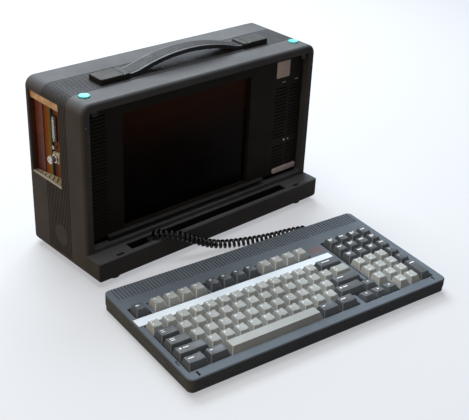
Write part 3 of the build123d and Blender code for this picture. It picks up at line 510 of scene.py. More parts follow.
button_plastic = new_material("latch_button_plastic", BUTTON_COLOUR, 0.4, Specular_IOR_Level=0.3)
connect(button_plastic, ramp(button_plastic, noise(button_plastic, 80), [(0.3, shade(BUTTON_COLOUR, 0.93)),
                                                                        (0.7, shade(BUTTON_COLOUR, 1.06))]),
        "Base Color")
bumps(button_plastic, noise(button_plastic, 700), 0.00003)
for name, x in (("latch_button_left", -175.0), ("latch_button_right", 175.0)):
    place = in_frame(x, 24.0, 0)
    button_middle = (place.x, place.y, BUTTON_TOP - BUTTON_TALL / 2)
    button = rod_in_edit("button", button_middle, (0, 0, 1), BUTTON_R, BUTTON_TALL, 40)
    pick_faces(button, lambda f: f.normal.z > 0.9)
    bpy.ops.mesh.inset(thickness=0.0012, depth=0)
    bpy.ops.mesh.inset(thickness=0.0016, depth=-0.0005)
    bpy.ops.mesh.inset(thickness=0.0022, depth=-0.0003)
    soften(button, lambda a, b: min(a.z, b.z) > BUTTON_TOP - 0.0001
               and min((a - place).xy.length, (b - place).xy.length) > BUTTON_R - 0.0001, 0.0007, segments=3)
    bpy.ops.object.mode_set(mode="OBJECT")
    collar = block_in_edit("collar", (place.x - COLLAR_HALF, place.y - COLLAR_HALF, 0.2306),
                           (place.x + COLLAR_HALF, place.y + COLLAR_HALF, 0.2326))
    soften(collar, lambda a, b: abs(a.z - b.z) > 0.001, 0.001)
    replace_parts(finished([button, collar], name + "_cap", [button_plastic], name), name)


def plated(name, colour, roughness, grain=(1, 1, 1), grain_scale=400):
    """Plated sheet steel with a rolled grain and slight dulling."""
    made = new_material(name, colour, roughness, Metallic=1.0)
    connect(made, ramp(made, noise(made, 60, 4.0, grain), [(0.3, shade(colour, 0.8)), (0.7, shade(colour, 1.12))]),
            "Base Color")
    connect(made, to_range(made, noise(made, grain_scale, 2.0), roughness - 0.06, roughness + 0.1), "Roughness")
    bumps(made, noise(made, grain_scale, 1.0), 0.00003, edge_radius=0.0003)
    return made


# The hooks' edges are painted three times paler than the black: wear and a painted highlight.
blackened_steel = moulded("blackened_steel", (0.016, 0.015, 0.014), 0.45, edge_wear_and_highlight=3.0, shine=0.2)
give(["latch_hook_left", "latch_hook_right"], blackened_steel)
plated_steel = plated("plated_steel", (0.50, 0.50, 0.49), 0.32)
give(["display_hinge_pins", "key_plate"], plated_steel)


# Joint lines of the strap's end caps: each cap is in two parts, with a dark gap between them
# and the bright end of a spring clip at its front.
gap_black = moulded("gap_black", (0.008, 0.008, 0.008), 0.8, edge_radius=0)
clip_bright = moulded("clip_bright", (0.55, 0.56, 0.58), 0.35, edge_radius=0, shine=0.5)
GAP_INNER = 104.2
gaps = []
for side in (-1, 1):
    for number, outer, y0, y1, top in ((0, 105.3, 39.6, 66.6, 243.68), (1, 105.0, 39.05, 40.6, 243.72)):
        x0, x1 = sorted((side * GAP_INNER, side * outer))
        gap = block_in_edit("gap", in_frame(x0, y0, 243.2), in_frame(x1, y1, top))
        soften(gap, lambda a, b: min(a.z, b.z) > 0.2436, 0.00008)
        number_faces(gap, number)
        bpy.ops.object.mode_set(mode="OBJECT")
        coat(gap, [gap_black, clip_bright])
        gaps.append(gap)
finished(gaps, "strap_end_joints", [gap_black, clip_bright], "unit")


# A thin black tray dropped into the ledge's front pan, where the cord is stowed: painted shade, a dark sheet put
# where the pan's hollow lies in shadow.
pan_shade_black = moulded("pan_shade_black", (0.010, 0.010, 0.010), 0.6)
SHADE_TRAY_WALL = 0.0006
SHADE_TRAY_DEPTH = 0.0110
liner = block_in_edit("liner", in_frame(-140.3, -19.3, 22.05), in_frame(136.8, -5.2, 33.4))
pick_faces(liner, lambda f: f.normal.z > 0.9)
bpy.ops.mesh.inset(thickness=SHADE_TRAY_WALL, depth=0)
bpy.ops.mesh.extrude_region_move(TRANSFORM_OT_translate={"value": (0, 0, -SHADE_TRAY_DEPTH)})
soften(liner, lambda a, b: abs(a.z - b.z) > 0.005, 0.0005)
finished([liner], "pan_shade_tray", [pan_shade_black], "unit")


# Rings moulded round the two strain reliefs of the cord.
def strain_rings(name, tip, inward, body):
    """Three rings that grow from the tip of a strain relief inward."""
    rings = []
    for reach, radius in ((0.0016, 0.0037), (0.0034, 0.0041), (0.0052, 0.0045)):
        ring = rod_in_edit("ring", tip + inward * reach, inward, radius, 0.0009, 28)
        soften(ring, lambda a, b: abs((a - b).dot(inward)) < 0.00001 and (a - b).length < radius, 0.0003)
        bpy.ops.object.mode_set(mode="OBJECT")
        rings.append(ring)
    finished(rings, name, [plug_vinyl], body)


strain_rings("plug_rings", in_frame(-101.312, -11.366, 34.958),
             Vector((-0.129, 0.081, -0.988)).normalized(), "unit")
strain_rings("sleeve_rings", in_frame(103.105, -95.434, 11.346),
             Vector((-0.130, -0.984, -0.123)).normalized(), "keyboard")


# Display panel: a dark brown-black bezel with columns of cooling slots at both sides of a
# sunken window, over a smoked amber filter and the plasma glass behind it.
PANEL_COLOUR = (0.020, 0.0165, 0.0145)


def along(material, axis):
    """How far along an axis of the frame a point of the piece lies, in metres."""
    split = material.node_tree.nodes.new("ShaderNodeSeparateXYZ")
    material.node_tree.links.new(object_place(material), split.inputs["Vector"])
    return split.outputs[axis]


panel_plastic = moulded("panel_plastic", PANEL_COLOUR, 0.55, edge_wear_and_highlight=1.6, shine=0.04)
give(["display_bezel", "display_back_cover"], panel_plastic)
filter_glass = new_material("filter_glass", (0.008, 0.0045, 0.003), 0.28, Specular_IOR_Level=0.02)
connect(filter_glass, to_range(filter_glass, noise(filter_glass, 30, 4.0), 0.24, 0.34), "Roughness")
# The filter's colour turns warmer and lighter towards its top: a painted reflection over its near-black amber tint.
connect(filter_glass, ramp(filter_glass, to_range(filter_glass, along(filter_glass, "Z"), 0.0, 1.0, 0.08, 0.21),
                           [(0.0, (0.003, 0.0025, 0.002)), (0.5, (0.009, 0.0045, 0.003)),
                            (1.0, (0.050, 0.0150, 0.0050))]), "Base Color")
give(["screen_filter"], filter_glass)
give(["plasma_panel"], plated("panel_edge", (0.10, 0.08, 0.07), 0.3))


# The two lamps beside the screen, clear caps of which the left one is lit, and the two short
# light dashes printed above the louvers.
lamp_plastic = new_material("lamp_plastic", (0.75, 0.72, 0.68), 0.25)
between_lamps = to_range(lamp_plastic, along(lamp_plastic, "X"), 0.0, 1.0,
                         in_frame(158.9, 0, 0).x, in_frame(159.1, 0, 0).x)
connect(lamp_plastic, ramp(lamp_plastic, between_lamps, [(0.0, (0.95, 0.93, 0.88)), (1.0, (0.30, 0.27, 0.24))]),
        "Base Color")
connect(lamp_plastic, to_range(lamp_plastic, noise(lamp_plastic, 400), 0.2, 0.3), "Roughness")
give(["indicator_leds"], lamp_plastic)
print_white = moulded("print_white", (0.66, 0.62, 0.60), 0.5, grain_height=0.00001, edge_radius=0)
marks = []
for x, z in ((147.6, 186.6), (172.5, 186.8)):
    mark = block_in_edit("mark", in_frame(x - 3.4, 9.93, z - 0.6), in_frame(x + 3.4, 10.2, z + 0.6))
    soften(mark, lambda a, b: abs(a.y - b.y) > 0.0001, 0.0004)
    bpy.ops.object.mode_set(mode="OBJECT")
    marks.append(mark)
finished(marks, "printed_dashes", [print_white], "display")


# Blank paper sticker above the louvers, and the blank plate with rounded ends below them:
# both plain stand-ins, stuck on the display's front.
def plate_on_display(name, x0, x1, z0, z1, thick, corner, material):
    """A thin plate on the display's front face, with rounded corners and a softened edge."""
    plate = block_in_edit(name, in_frame(x0, 10.0 - thick, z0), in_frame(x1, 10.3, z1))
    soften(plate, lambda a, b: abs(a.y - b.y) > 0.0001, corner, segments=5)
    pick_faces(plate, lambda f: f.normal.y < -0.9)
    bpy.ops.mesh.inset(thickness=0.0004, depth=0)
    bpy.ops.transform.translate(value=(0, -0.00012, 0))
    return finished([plate], name, [material], "display")


sticker_paper = moulded("sticker_paper", (0.93, 0.83, 0.80), 0.6, grain_height=0.00002, edge_radius=0)
plate_on_display("blank_sticker", 132.6, 157.8, 194.0, 218.0, 0.16, 0.0012, sticker_paper)
badge_lacquer = moulded("badge_lacquer", (0.90, 0.80, 0.82), 0.3, grain_height=0.00001, edge_radius=0)
plate_on_display("blank_badge", 134.6, 182.0, 45.6, 53.8, 0.9, 0.0030, badge_lacquer)


# Card bay: a sheet-steel cage, passivated in warm tones, open to the side. Its upper flange is
# the brightest, its sill a pale grey that is a painted highlight of the lit edge, and its floor a pale
# yellow-green.
def by_height(material, stops):
    """A colour that changes with the height over the desk, from 0.1 m to 0.23 m."""
    stepped = ramp(material, to_range(material, along(material, "Z"), 0.0, 1.0, 0.10, 0.23), stops)
    clouded = material.node_tree.nodes.new("ShaderNodeMix")
    clouded.data_type = "RGBA"
    clouded.blend_type = "MULTIPLY"
    clouded.inputs["Factor"].default_value = 1.0
    material.node_tree.links.new(stepped, clouded.inputs["A"])
    spots = ramp(material, noise(material, 110, 5.0), [(0.3, (0.55, 0.50, 0.46)), (0.7, (1.0, 1.0, 1.0))])
    material.node_tree.links.new(spots, clouded.inputs["B"])
    connect(material, clouded.outputs["Result"], "Base Color")


cage_steel = new_material("cage_steel", (0.4, 0.25, 0.12), 0.5, Metallic=0.35)
# The lowest stops paint the cage pale grey at the sill's height: a painted highlight of the opening's lit edge.
by_height(cage_steel, [(0.0, (0.34, 0.33, 0.30)), (0.062, (0.50, 0.49, 0.46)), (0.075, (0.10, 0.045, 0.02)),
                       (0.82, (0.13, 0.035, 0.02)), (0.85, (0.74, 0.46, 0.19))])
connect(cage_steel, to_range(cage_steel, noise(cage_steel, 300), 0.40, 0.60), "Roughness")
bumps(cage_steel, noise(cage_steel, 250), 0.00004, edge_radius=0.0003)
give(["card_cage"], cage_steel)
cover_paint = new_material("cover_paint", (0.10, 0.025, 0.013), 0.55, Metallic=0.2)
by_height(cover_paint, [(0.0, (0.09, 0.022, 0.014)), (0.45, (0.15, 0.038, 0.018)), (0.80, (0.22, 0.050, 0.022))])
connect(cover_paint, to_range(cover_paint, noise(cover_paint, 300), 0.45, 0.65), "Roughness")
bumps(cover_paint, noise(cover_paint, 250), 0.00004, edge_radius=0.0003)
give(["slot_cover"], cover_paint)


# Plug-in cards: green lacquer over glass fibre, each with a bent steel bracket in the bay. The
# brackets are passivated too: the rear one turns from orange-brown to yellow-green.
BOARD_GREEN = (0.05, 0.09, 0.03)


def second_colour(material, amount):
    """Mixes a second colour over the material's first by the amount, and returns its socket."""
    first = material.node_tree.nodes["Principled BSDF"].inputs["Base Color"].links[0].from_socket
    mix = material.node_tree.nodes.new("ShaderNodeMix")
    mix.data_type = "RGBA"
    material.node_tree.links.new(amount, mix.inputs["Factor"])
    material.node_tree.links.new(first, mix.inputs["A"])
    connect(material, mix.outputs["Result"], "Base Color")
    return mix.inputs["B"]


def card_material(name, depths, tones):
    """Bracket tones between two depths, front to rear, and lacquer behind the bracket."""
    made = moulded(name, BOARD_GREEN, 0.45)
    bracket = to_range(made, along(made, "X"), 1.0, 0.0, in_frame(-186.3, 0, 0).x, in_frame(-186.1, 0, 0).x)
    front, rear = (in_frame(0, depth, 0).y for depth in depths)
    made.node_tree.links.new(ramp(made, to_range(made, along(made, "Y"), 0.0, 1.0, front, rear), tones),
                             second_colour(made, bracket))
    return made


# The rear bracket's front end and the front bracket's rear end are near-black: painted shade in the gap between
# them.
give(["expansion_card_rear"], card_material("rear_card_tones_and_gap_shade", (77.5, 95.5), [
    (0.0, (0.010, 0.008, 0.006)), (0.12, (0.010, 0.008, 0.006)), (0.18, (0.17, 0.16, 0.04)),
    (0.40, (0.30, 0.18, 0.03)), (0.6, (0.34, 0.12, 0.02)), (1.0, (0.20, 0.055, 0.02))]))
give(["expansion_card_front"], card_material("front_card_tones_and_gap_shade", (57.5, 75.5), [
    (0.0, (0.05, 0.02, 0.01)), (0.3, (0.30, 0.10, 0.035)), (0.55, (0.20, 0.07, 0.03)),
    (1.0, (0.03, 0.015, 0.01))]))


SOCKET_BLACK = (0.016, 0.016, 0.017)


def with_black_rear(material, y):
    """Turns what lies behind a depth of the case into black plastic, as sockets at its edge are."""
    behind = to_range(material, along(material, "Y"), 0.0, 1.0, in_frame(0, y, 0).y, in_frame(0, y + 0.1, 0).y)
    second_colour(material, behind).default_value = (*SOCKET_BLACK, 1.0)
    return material


give(["main_board"], with_black_rear(moulded("main_board_finish", BOARD_GREEN, 0.4), 107.5))
give(["keyboard_board"], moulded("board_lacquer", BOARD_GREEN, 0.4))
supply_case = moulded("supply_case", (0.42, 0.42, 0.41), 0.4, shine=0.4)
give(["power_supply"], with_black_rear(supply_case, 119.0))


# Sockets on the front card: a ribbed plug strip between two posts, a small post under it, and a
# round bayonet socket of nickelled brass on a white moulded block.
strip_black = moulded("strip_black", (0.030, 0.028, 0.026), 0.5, shine=0.3)
nickel = plated("nickel", (0.55, 0.52, 0.47), 0.28)
white_block = moulded("white_block", (0.70, 0.68, 0.62), 0.5)
strip = block_in_edit("strip", in_frame(-190.5, 64.8, 165), in_frame(-188, 73.2, 199))
soften(strip, lambda a, b: abs(a.x - b.x) > 0.001, 0.0015, segments=3)
bpy.ops.object.mode_set(mode="OBJECT")
RIB_PITCH = 2.8
RIB_TALL = 1.5
sockets = [strip]
for i in range(9):
    z = 170.2 + i * RIB_PITCH
    rib = block_in_edit("rib", in_frame(-192.0, 66.4, z), in_frame(-190.3, 71.6, z + RIB_TALL))
    soften(rib, lambda a, b: abs(a.y - b.y) > 0.001, 0.0004)
    number_faces(rib, 1)
    bpy.ops.object.mode_set(mode="OBJECT")
    sockets.append(rib)
rods = [(-192.0, -187.9, 1.7, 69.0, 167.3), (-192.0, -187.9, 1.7, 69.0, 196.7),    # posts of the strip
        (-193.5, -187.9, 2.4, 69.0, 158.0),                                         # post under it
        (-201.3, -188.0, 4.4, 66.0, 144.0), (-194.0, -191.0, 5.6, 66.0, 144.0),     # bayonet socket:
        (-200.4, -197.6, 5.2, 66.0, 144.0)]                                         # body and two rings
for x0, x1, radius, y, z in rods:
    rod = rod_in_edit("rod", in_frame((x0 + x1) / 2, y, z), (-1, 0, 0), radius / 1000, (x1 - x0) / 1000, 28)
    pick_faces(rod, lambda f: f.normal.x < -0.9)
    bpy.ops.mesh.inset(thickness=radius * 0.00028, depth=0)
    bpy.ops.mesh.inset(thickness=radius * 0.00006, depth=-0.0012)
    number_faces(rod, 1)
    bpy.ops.object.mode_set(mode="OBJECT")
    sockets.append(rod)
base = block_in_edit("base", in_frame(-191.5, 59.2, 137.2), in_frame(-188, 72.8, 150.8))
soften(base, lambda a, b: abs(a.x - b.x) > 0.001, 0.0012, segments=3)
number_faces(base, 2)
bpy.ops.object.mode_set(mode="OBJECT")
sockets.append(base)
for part in sockets:
    coat(part, [strip_black, nickel, white_block])
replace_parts(finished(sockets, "card_sockets", [strip_black, nickel, white_block], "unit"),
            "card_connector")


# Floor tray and sill of the bay: a pale yellow-green plate with square holes that rises a
# little to the front, behind a pale grey sill lying on the edge of the opening, a painted highlight of the case
# wall's lit edge.
tray_paint = moulded("tray_paint", (0.42, 0.41, 0.28), 0.5)
hole_shadow = moulded("hole_shadow", (0.012, 0.011, 0.010), 0.9)
sill_highlight_grey = moulded("sill_highlight_grey", (0.62, 0.61, 0.57), 0.45, shine=0.3)
TRAY_FRONT, TRAY_REAR = 50.6, 115.4
TRAY_STEPS = 14
TRAY_RISE = 0.009
tray_step = (TRAY_REAR - TRAY_FRONT) / TRAY_STEPS
tray = block_in_edit("tray", in_frame(-192.6, TRAY_FRONT, 108.2), in_frame(-188.2, TRAY_REAR, 109.0))
for i in range(1, TRAY_STEPS):
    bpy.ops.mesh.select_all(action="SELECT")
    bpy.ops.mesh.bisect(plane_co=in_frame(0, TRAY_FRONT + i * tray_step, 0), plane_no=(0, 1, 0))
form = bmesh.from_edit_mesh(tray.data)
front_y, rear_y = in_frame(0, TRAY_FRONT, 0).y, in_frame(0, TRAY_REAR, 0).y
for y in sorted({round(v.co.y, 5) for v in form.verts}):
    pick_vertices(tray, lambda v: v.co.x > in_frame(-190, 0, 0).x and abs(v.co.y - y) < 0.0001)
    bpy.ops.transform.translate(value=(0, 0, TRAY_RISE * (rear_y - y) / (rear_y - front_y)))
bpy.ops.mesh.select_all(action="SELECT")
bpy.ops.mesh.normals_make_consistent(inside=False)
pick_faces(tray, lambda f: f.normal.z > 0.3
           and int((f.calc_center_median().y - front_y) * 1000 / tray_step) % 2)
bpy.ops.mesh.inset(thickness=0.0012, depth=-0.0003, use_individual=True)
number_faces(tray, 1, lambda f: f.select)
bpy.ops.object.mode_set(mode="OBJECT")
sill = block_in_edit("sill", in_frame(-195.7, 50.3, 108.02), in_frame(-192.4, 115.7, 109.6))
pick_faces(sill, lambda f: f.normal.z > 0.9)
bpy.ops.mesh.inset(thickness=0.0009, depth=-0.0004)
soften(sill, lambda a, b: min(a.z, b.z) > 0.1095, 0.0002)
number_faces(sill, 2)
bpy.ops.object.mode_set(mode="OBJECT")
for part in (tray, sill):
    coat(part, [tray_paint, hole_shadow, sill_highlight_grey])
finished([tray, sill], "bay_tray", [tray_paint, hole_shadow, sill_highlight_grey], "unit")


# Screws: four in the rear cover, their sunk heads level with it, and one small plug at each
# side of the front rim.
screw_steel = plated("screw_steel", (0.20, 0.20, 0.21), 0.4)
screws = []
for x in (-180.0, 180.0):
    for z in (20.0, 222.0):
        screw = rod_in_edit("screw", in_frame(x, 126.6, z), (0, 1, 0), 0.0032, 0.0020, 24)
        pick_faces(screw, lambda f: f.normal.y > 0.9)
        bpy.ops.mesh.inset(thickness=0.0005, depth=0.0002)
        bpy.ops.mesh.inset(thickness=0.0012, depth=0)
        bpy.ops.mesh.inset(thickness=0.0003, depth=-0.0008)
        bpy.ops.object.mode_set(mode="OBJECT")
        screws.append(screw)
finished(screws, "rear_screws", [screw_steel], "unit")
plugs = []
for x in (-190.3, 190.3):
    plug = rod_in_edit("plug", in_frame(x, 0.1, 207.0), (0, -1, 0), 0.0011, 0.0008, 20)
    pick_faces(plug, lambda f: f.normal.y < -0.9)
    bpy.ops.mesh.inset(thickness=0.0003, depth=0.0001)
    bpy.ops.object.mode_set(mode="OBJECT")
    plugs.append(plug)
rim_plug_plastic = moulded("rim_plug_plastic", (0.20, 0.19, 0.18), 0.4, shine=0.3)
finished(plugs, "rim_plugs", [rim_plug_plastic], "unit")


# Disk drive on the right side with its turning lever, and the mains switch: black plastic.
drive_plastic = moulded("drive_plastic", (0.022, 0.022, 0.023), 0.45, edge_wear_and_highlight=1.6)
give(["disk_drive", "drive_lever", "power_switch"], drive_plastic)


# Keyboard shells: the case's plastic in a slightly bluer grey, with a plain pale strip let in
# over the number row.
KEYBOARD_COLOUR = (0.114, 0.136, 0.162)
KEYBOARD_PLACE = Matrix.Translation(in_frame(-233.6, -237.0, 0)) @ Matrix.Rotation(math.radians(-7.26), 4, "Z")
KEYS_PLANE = (KEYBOARD_PLACE @ Matrix.Translation((0, 0, 0.0287)) @ Matrix.Rotation(math.radians(1.33), 4, "X"))
keyboard_plastic = moulded("keyboard_plastic", KEYBOARD_COLOUR, 0.52, edge_wear_and_highlight=1.6)
give(["keyboard_top_shell", "keyboard_bottom_shell"], keyboard_plastic)
strip_plastic = moulded("strip_plastic", (0.69, 0.76, 0.83), 0.35, grain_height=0.00002)
give(["label_strip"], strip_plastic)


# Marks printed on the keyboard's deck: a black hook at its left edge and five short rows of
# reddish dashes beside the function keys. Plain strokes of ink, without any words.
KEY_PITCH = 0.01905


def deck_stroke(u0, u1, v0, v1):
    """A stroke of ink on the deck, from and to across and back, in key pitches."""
    stroke = block_in_edit("stroke", (u0 * KEY_PITCH, v0 * KEY_PITCH, -0.0071),
                           (u1 * KEY_PITCH, v1 * KEY_PITCH, -0.00694))
    soften(stroke, lambda a, b: abs(a.z - b.z) > 0.0001, 0.00015)
    bpy.ops.object.mode_set(mode="OBJECT")
    stroke.matrix_world = KEYS_PLANE
    bpy.ops.object.select_all(action="DESELECT")
    stroke.select_set(True)
    bpy.context.view_layer.objects.active = stroke
    bpy.ops.object.transform_apply(location=True, rotation=True, scale=True)
    return stroke


black_ink = moulded("black_ink", (0.010, 0.010, 0.011), 0.6, grain_height=0.00001, edge_radius=0)
finished([deck_stroke(-0.21, -0.145, 0.24, 0.70), deck_stroke(-0.145, -0.06, 0.62, 0.70)],
         "deck_hook_mark", [black_ink], "keyboard")
red_ink = moulded("red_ink", (0.26, 0.095, 0.06), 0.6, grain_height=0.00001, edge_radius=0)
finished([deck_stroke(14.02 + i * 0.40, 14.02 + i * 0.40 + length, 5.70 + row * 0.14, 5.752 + row * 0.14)
          for row in range(5) for i, length in enumerate((0.30, 0.34, 0.28))],
         "deck_dashes", [red_ink], "keyboard")


# Keys: caps with leaning sides and a hollow across the top, pushed onto stems in the key
# plate. Characters have light caps and the rest dark ones; plain bars stand for the legends,
# and the upright corners are painted paler, a painted highlight where they catch the light.
LIGHT_CAP = (0.315, 0.33, 0.325)
DARK_CAP = (0.064, 0.072, 0.081)
KEY_GAP = 0.0009
CAP_TALL = 0.009
CAP_LEAN, CAP_FRONT, CAP_BACK = 0.0031, 0.0043, 0.0012    # how far a cap's sides, front and back lean in
CAP_HOLLOW = 0.0006
light_cap = moulded("light_cap", LIGHT_CAP, 0.42, grain_height=0.00003, edge_radius=0, shine=0.15)
dark_cap = moulded("dark_cap", DARK_CAP, 0.40, grain_height=0.00003, edge_radius=0, shine=0.2)
# Paler plastics for the caps' upright corners: painted highlight.
light_corner_highlight = moulded("light_cap_corner_highlight", (0.70, 0.70, 0.66), 0.22, grain_height=0.00001, edge_radius=0)
dark_corner_highlight = moulded("dark_cap_corner_highlight", (0.22, 0.225, 0.235), 0.22, grain_height=0.00001, edge_radius=0)
legend_ink = moulded("legend_ink", (0.82, 0.84, 0.86), 0.5, grain_height=0.00001, edge_radius=0)
light_caps = (light_cap, legend_ink, light_corner_highlight)
dark_caps = (dark_cap, legend_ink, dark_corner_highlight)


def cut_across(piece, middle, direction, test=None):
    """Bisects all the faces of a piece in edit mode, or those that pass the test."""
    if test is None:
        bpy.ops.mesh.select_all(action="SELECT")
    else:
        pick_faces(piece, test)
    bpy.ops.mesh.bisect(plane_co=middle, plane_no=direction)


models = []


def model_cap(name, width, depth=1.0, bars=(), low=False, hollow=True):
    """One cap with its plane at height zero; bars are (x, y, width, depth) in millimetres."""
    half_w, half_d = (width * KEY_PITCH - KEY_GAP) / 2, (depth * KEY_PITCH - KEY_GAP) / 2
    cap = block_in_edit(name, (-half_w, -half_d, -CAP_TALL), (half_w, half_d, 0))
    front = (half_w - CAP_LEAN, -half_d + CAP_FRONT, 0.0)
    back = (half_w - CAP_LEAN, half_d - CAP_BACK, 0.0)
    if low:
        front = (half_w - 0.00307, -half_d + CAP_FRONT, -0.003)
        back = (half_w - 0.00204, half_d - 0.0026, -0.005)
    for side in (-1, 1):
        for y_sign, (x, y, z) in ((-1, front), (1, back)):
            pick_vertices(cap, lambda v: v.co.z > -0.0001 and v.co.x * side > 0 and v.co.y * y_sign > 0)
            bpy.ops.transform.translate(value=(side * (x - half_w), y - y_sign * half_d, z))
    soften(cap, lambda a, b: abs(a.z - b.z) > 0.003, 0.0013, segments=3)
    if not hollow:
        soften(cap, lambda a, b: max(a.y, b.y) < 0 and min(a.z, b.z) > -0.001 and abs(a.x - b.x) > half_w,
               0.0014, segments=3)
    else:
        pick_faces(cap, lambda f: f.normal.z > 0.95)
        bpy.ops.mesh.region_to_loop()
        bpy.ops.mesh.bevel(offset=0.00045, segments=2, affect="EDGES")
    # The upright corner faces take the third plastic, a painted highlight.
    number_faces(cap, 2, lambda f: abs(abs(f.normal.x) - abs(f.normal.y)) < 0.2 and abs(f.normal.z) < 0.6)
    on_top = lambda f: f.normal.z > 0.95 and f.calc_center_median().z > -0.0055
    if hollow:
        for part in (-0.6, -0.2, 0.2, 0.6):
            cut_across(cap, (part * front[0], 0, 0), (1, 0, 0))
    for x, y, bar_w, bar_d in bars:
        for edge in (-0.5, 0.5):
            cut_across(cap, ((x + edge * bar_w) / 1000, 0, 0), (1, 0, 0), on_top)
            cut_across(cap, (0, (y + edge * bar_d) / 1000, 0), (0, 1, 0), on_top)
    form = bmesh.from_edit_mesh(cap.data)
    for face in form.faces:
        middle = face.calc_center_median() * 1000
        for x, y, bar_w, bar_d in bars:
            if on_top(face) and abs(middle.x - x) < bar_w / 2 and abs(middle.y - y) < bar_d / 2:
                face.material_index = 1
    if hollow and not low:
        for x in sorted({round(v.co.x, 5) for v in form.verts if v.co.z > -0.001}):
            pick_vertices(cap, lambda v: v.co.z > -0.001 and abs(v.co.x - x) < 0.00001)
            dip = CAP_HOLLOW * (1 - min(1.0, abs(x) / front[0]) ** 2)
            bpy.ops.transform.translate(value=(0, 0, -dip))
    bpy.ops.object.mode_set(mode="OBJECT")
    stem = block_in_edit("stem", (-0.002, -0.002, -0.0176), (0.002, 0.002, -CAP_TALL + 0.0005))
    soften(stem, lambda a, b: abs(a.z - b.z) > 0.003, 0.0004, segments=1)
    bpy.ops.object.mode_set(mode="OBJECT")
    for part in (cap, stem):
        coat(part, light_caps)
    bpy.ops.object.select_all(action="DESELECT")
    stem.select_set(True)
    cap.select_set(True)
    bpy.context.view_layer.objects.active = cap
    bpy.ops.object.join()
    bpy.ops.object.shade_smooth_by_angle(angle=math.radians(40))
    models.append(cap)
    return cap


def set_caps(node_name, caps, plastics):
    """Copies of the caps at their places on the board, as one piece that stands for the node."""
    bpy.ops.object.select_all(action="DESELECT")
    copies = []
    for cap, u, v in caps:
        copy = cap.copy()
        copy.data = cap.data.copy()
        copy.matrix_world = KEYS_PLANE @ Matrix.Translation((u * KEY_PITCH, v * KEY_PITCH, 0))
        bpy.context.scene.collection.objects.link(copy)
        copy.select_set(True)
        copies.append(copy)
    piece = copies[0]
    bpy.context.view_layer.objects.active = piece
    if len(copies) > 1:
        bpy.ops.object.join()
    bpy.ops.object.transform_apply(location=True, rotation=True, scale=True)
    piece.name = "cap_of_" + node_name
    coat(piece, plastics)
    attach(piece, node_name)
    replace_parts(piece, node_name)


letter_caps = [model_cap("letter_cap", 1.0, bars=[(-2.9, 4.2, 1.7, 2.0)]),
               model_cap("letter_cap", 1.0, bars=[(-2.8, 4.1, 2.2, 1.8)]),
               model_cap("letter_cap", 1.0, bars=[(-3.0, 4.2, 1.2, 2.1)])]
number_caps = [model_cap("number_cap", 1.0, bars=[(-2.9, 5.2, 1.5, 1.8), (-2.9, 0.6, 1.5, 2.0)]),
               model_cap("number_cap", 1.0, bars=[(-2.9, 5.3, 2.0, 1.5), (-2.9, 0.7, 1.3, 2.0)])]
function_caps = [model_cap("function_cap", 1.0, bars=[(-2.9, 4.6, 1.1, 1.9), (-1.2, 4.6, 1.3, 1.9)]),
                 model_cap("function_cap", 1.0, bars=[(-2.9, 4.6, 1.2, 1.9), (-0.9, 4.6, 1.7, 1.9)])]
pad_caps = [model_cap("pad_cap", 1.0, bars=[(-2.9, 4.6, 1.7, 2.0), (-1.6, -1.6, 4.0, 0.9)]),
            model_cap("pad_cap", 1.0, bars=[(-2.9, 4.6, 1.4, 2.0), (-2.7, -1.6, 1.8, 0.9)])]
sheet_caps = [model_cap("sheet_cap", 1.0, bars=[(-0.6, 4.4, 7.0, 1.3), (-1.2, 2.0, 5.6, 1.3)]),
              model_cap("sheet_cap", 1.0, bars=[(-0.8, 3.9, 6.8, 1.6)])]
arrow_cap = model_cap("arrow_cap", 1.0, bars=[(0.0, 1.2, 2.6, 1.2), (0.0, 2.7, 1.2, 1.1)], low=True)
sign_cap = model_cap("sign_cap", 1.0, bars=[(-2.6, 4.2, 2.2, 0.9)])

set_caps("key_space", [(model_cap("space_cap", 7.0, hollow=False), 6.5, 0)], light_caps)
set_caps("key_escape", [(model_cap("escape_cap", 1.0, bars=[(-1.4, 3.4, 5.0, 1.7)]), 0.55, 6)], dark_caps)
for node_name, first, plastics in (("keys_f1_to_f4", 1.842, light_caps), ("keys_f5_to_f8", 5.992, dark_caps),
                                   ("keys_f9_to_f12", 10.152, light_caps)):
    set_caps(node_name, [(function_caps[i % 2], first + i, 6) for i in range(4)], plastics)
set_caps("keys_number_row", [(number_caps[i * 2 // 3 % 2], 0.5 + i, 4) for i in range(13)], light_caps)
set_caps("key_backspace", [(model_cap("backspace_cap", 2.0, bars=[(-3.2, 3.0, 13.0, 1.4)]), 14, 4)], dark_caps)
set_caps("key_tab", [(model_cap("tab_cap", 1.5, bars=[(-5.6, 4.4, 4.4, 1.2), (-5.6, 1.4, 4.4, 1.2)]), 0.75, 3)],
         dark_caps)
set_caps("keys_upper_letters",
         [(letter_caps[i * 5 % 3], 2.0 + i, 3) for i in range(12)]
         + [(model_cap("slash_cap", 1.5, bars=[(-6.6, 5.0, 1.3, 2.0), (-6.6, 0.6, 1.3, 2.0)]), 14.25, 3)],
         light_caps)
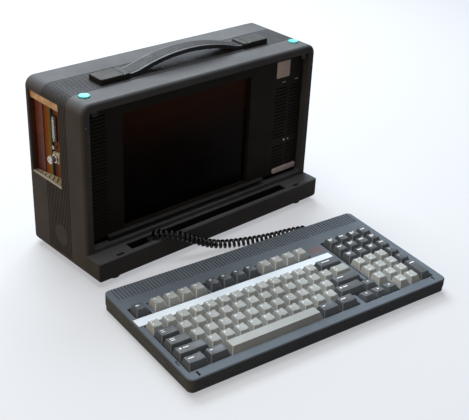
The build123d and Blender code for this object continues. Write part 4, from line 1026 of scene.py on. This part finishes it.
set_caps("key_caps_lock", [(model_cap("caps_lock_cap", 1.75, bars=[(-6.4, 4.6, 6.0, 1.3), (-6.6, 1.6, 5.6, 1.3)]),
                            0.875, 2)], dark_caps)
set_caps("keys_home_letters", [(letter_caps[i * 7 % 3], 2.25 + i, 2) for i in range(11)], light_caps)
set_caps("key_enter", [(model_cap("enter_cap", 2.25, bars=[(-7.6, 3.2, 10.0, 1.4)]),
                        13.875, 2)], dark_caps)
SHIFT_BARS = [(-12.6, 3.6, 3.0, 2.4), (-5.4, 3.6, 7.4, 1.5)]
set_caps("key_shift_left", [(model_cap("shift_left_cap", 2.25, bars=SHIFT_BARS), 1.125, 1)], dark_caps)
set_caps("keys_lower_letters", [(letter_caps[i * 4 % 3], 2.75 + i, 1) for i in range(10)], light_caps)
set_caps("key_shift_right", [(model_cap("shift_right_cap", 2.25, bars=SHIFT_BARS), 13.375, 1)], dark_caps)
control_cap = model_cap("control_cap", 1.5, bars=[(-3.6, 3.4, 7.6, 1.5)])
alt_cap = model_cap("alt_cap", 1.5, bars=[(-5.6, 3.6, 4.0, 1.5)])
set_caps("keys_control_and_alt", [(control_cap, 0.75, 0), (alt_cap, 2.25, 0), (alt_cap, 10.75, 0),
                                  (control_cap, 12.25, 0)], dark_caps)
set_caps("keys_cursor", [(arrow_cap, 14, 0), (arrow_cap, 15, 0), (arrow_cap, 16, 0), (arrow_cap, 15, 1)], dark_caps)
set_caps("keys_navigation", [(sheet_caps[(i + v) % 2], 16 + i, v) for v in (4, 5, 6) for i in range(4)], dark_caps)
set_caps("keys_keypad_numbers", [(pad_caps[(i + v) % 2], 16 + i, v) for v in (1, 2, 3) for i in range(3)]
         + [(pad_caps[0], 17, 0), (pad_caps[1], 18, 0)], light_caps)
set_caps("keys_keypad_operators", [(sign_cap, 19, 3), (sign_cap, 19, 2)], dark_caps)
set_caps("key_keypad_enter", [(model_cap("keypad_enter_cap", 1.0, depth=2.0, bars=[(-0.4, 11.0, 8.0, 1.5)]),
                               19, 0.5)], dark_caps)
for model in models:
    bpy.data.objects.remove(model)
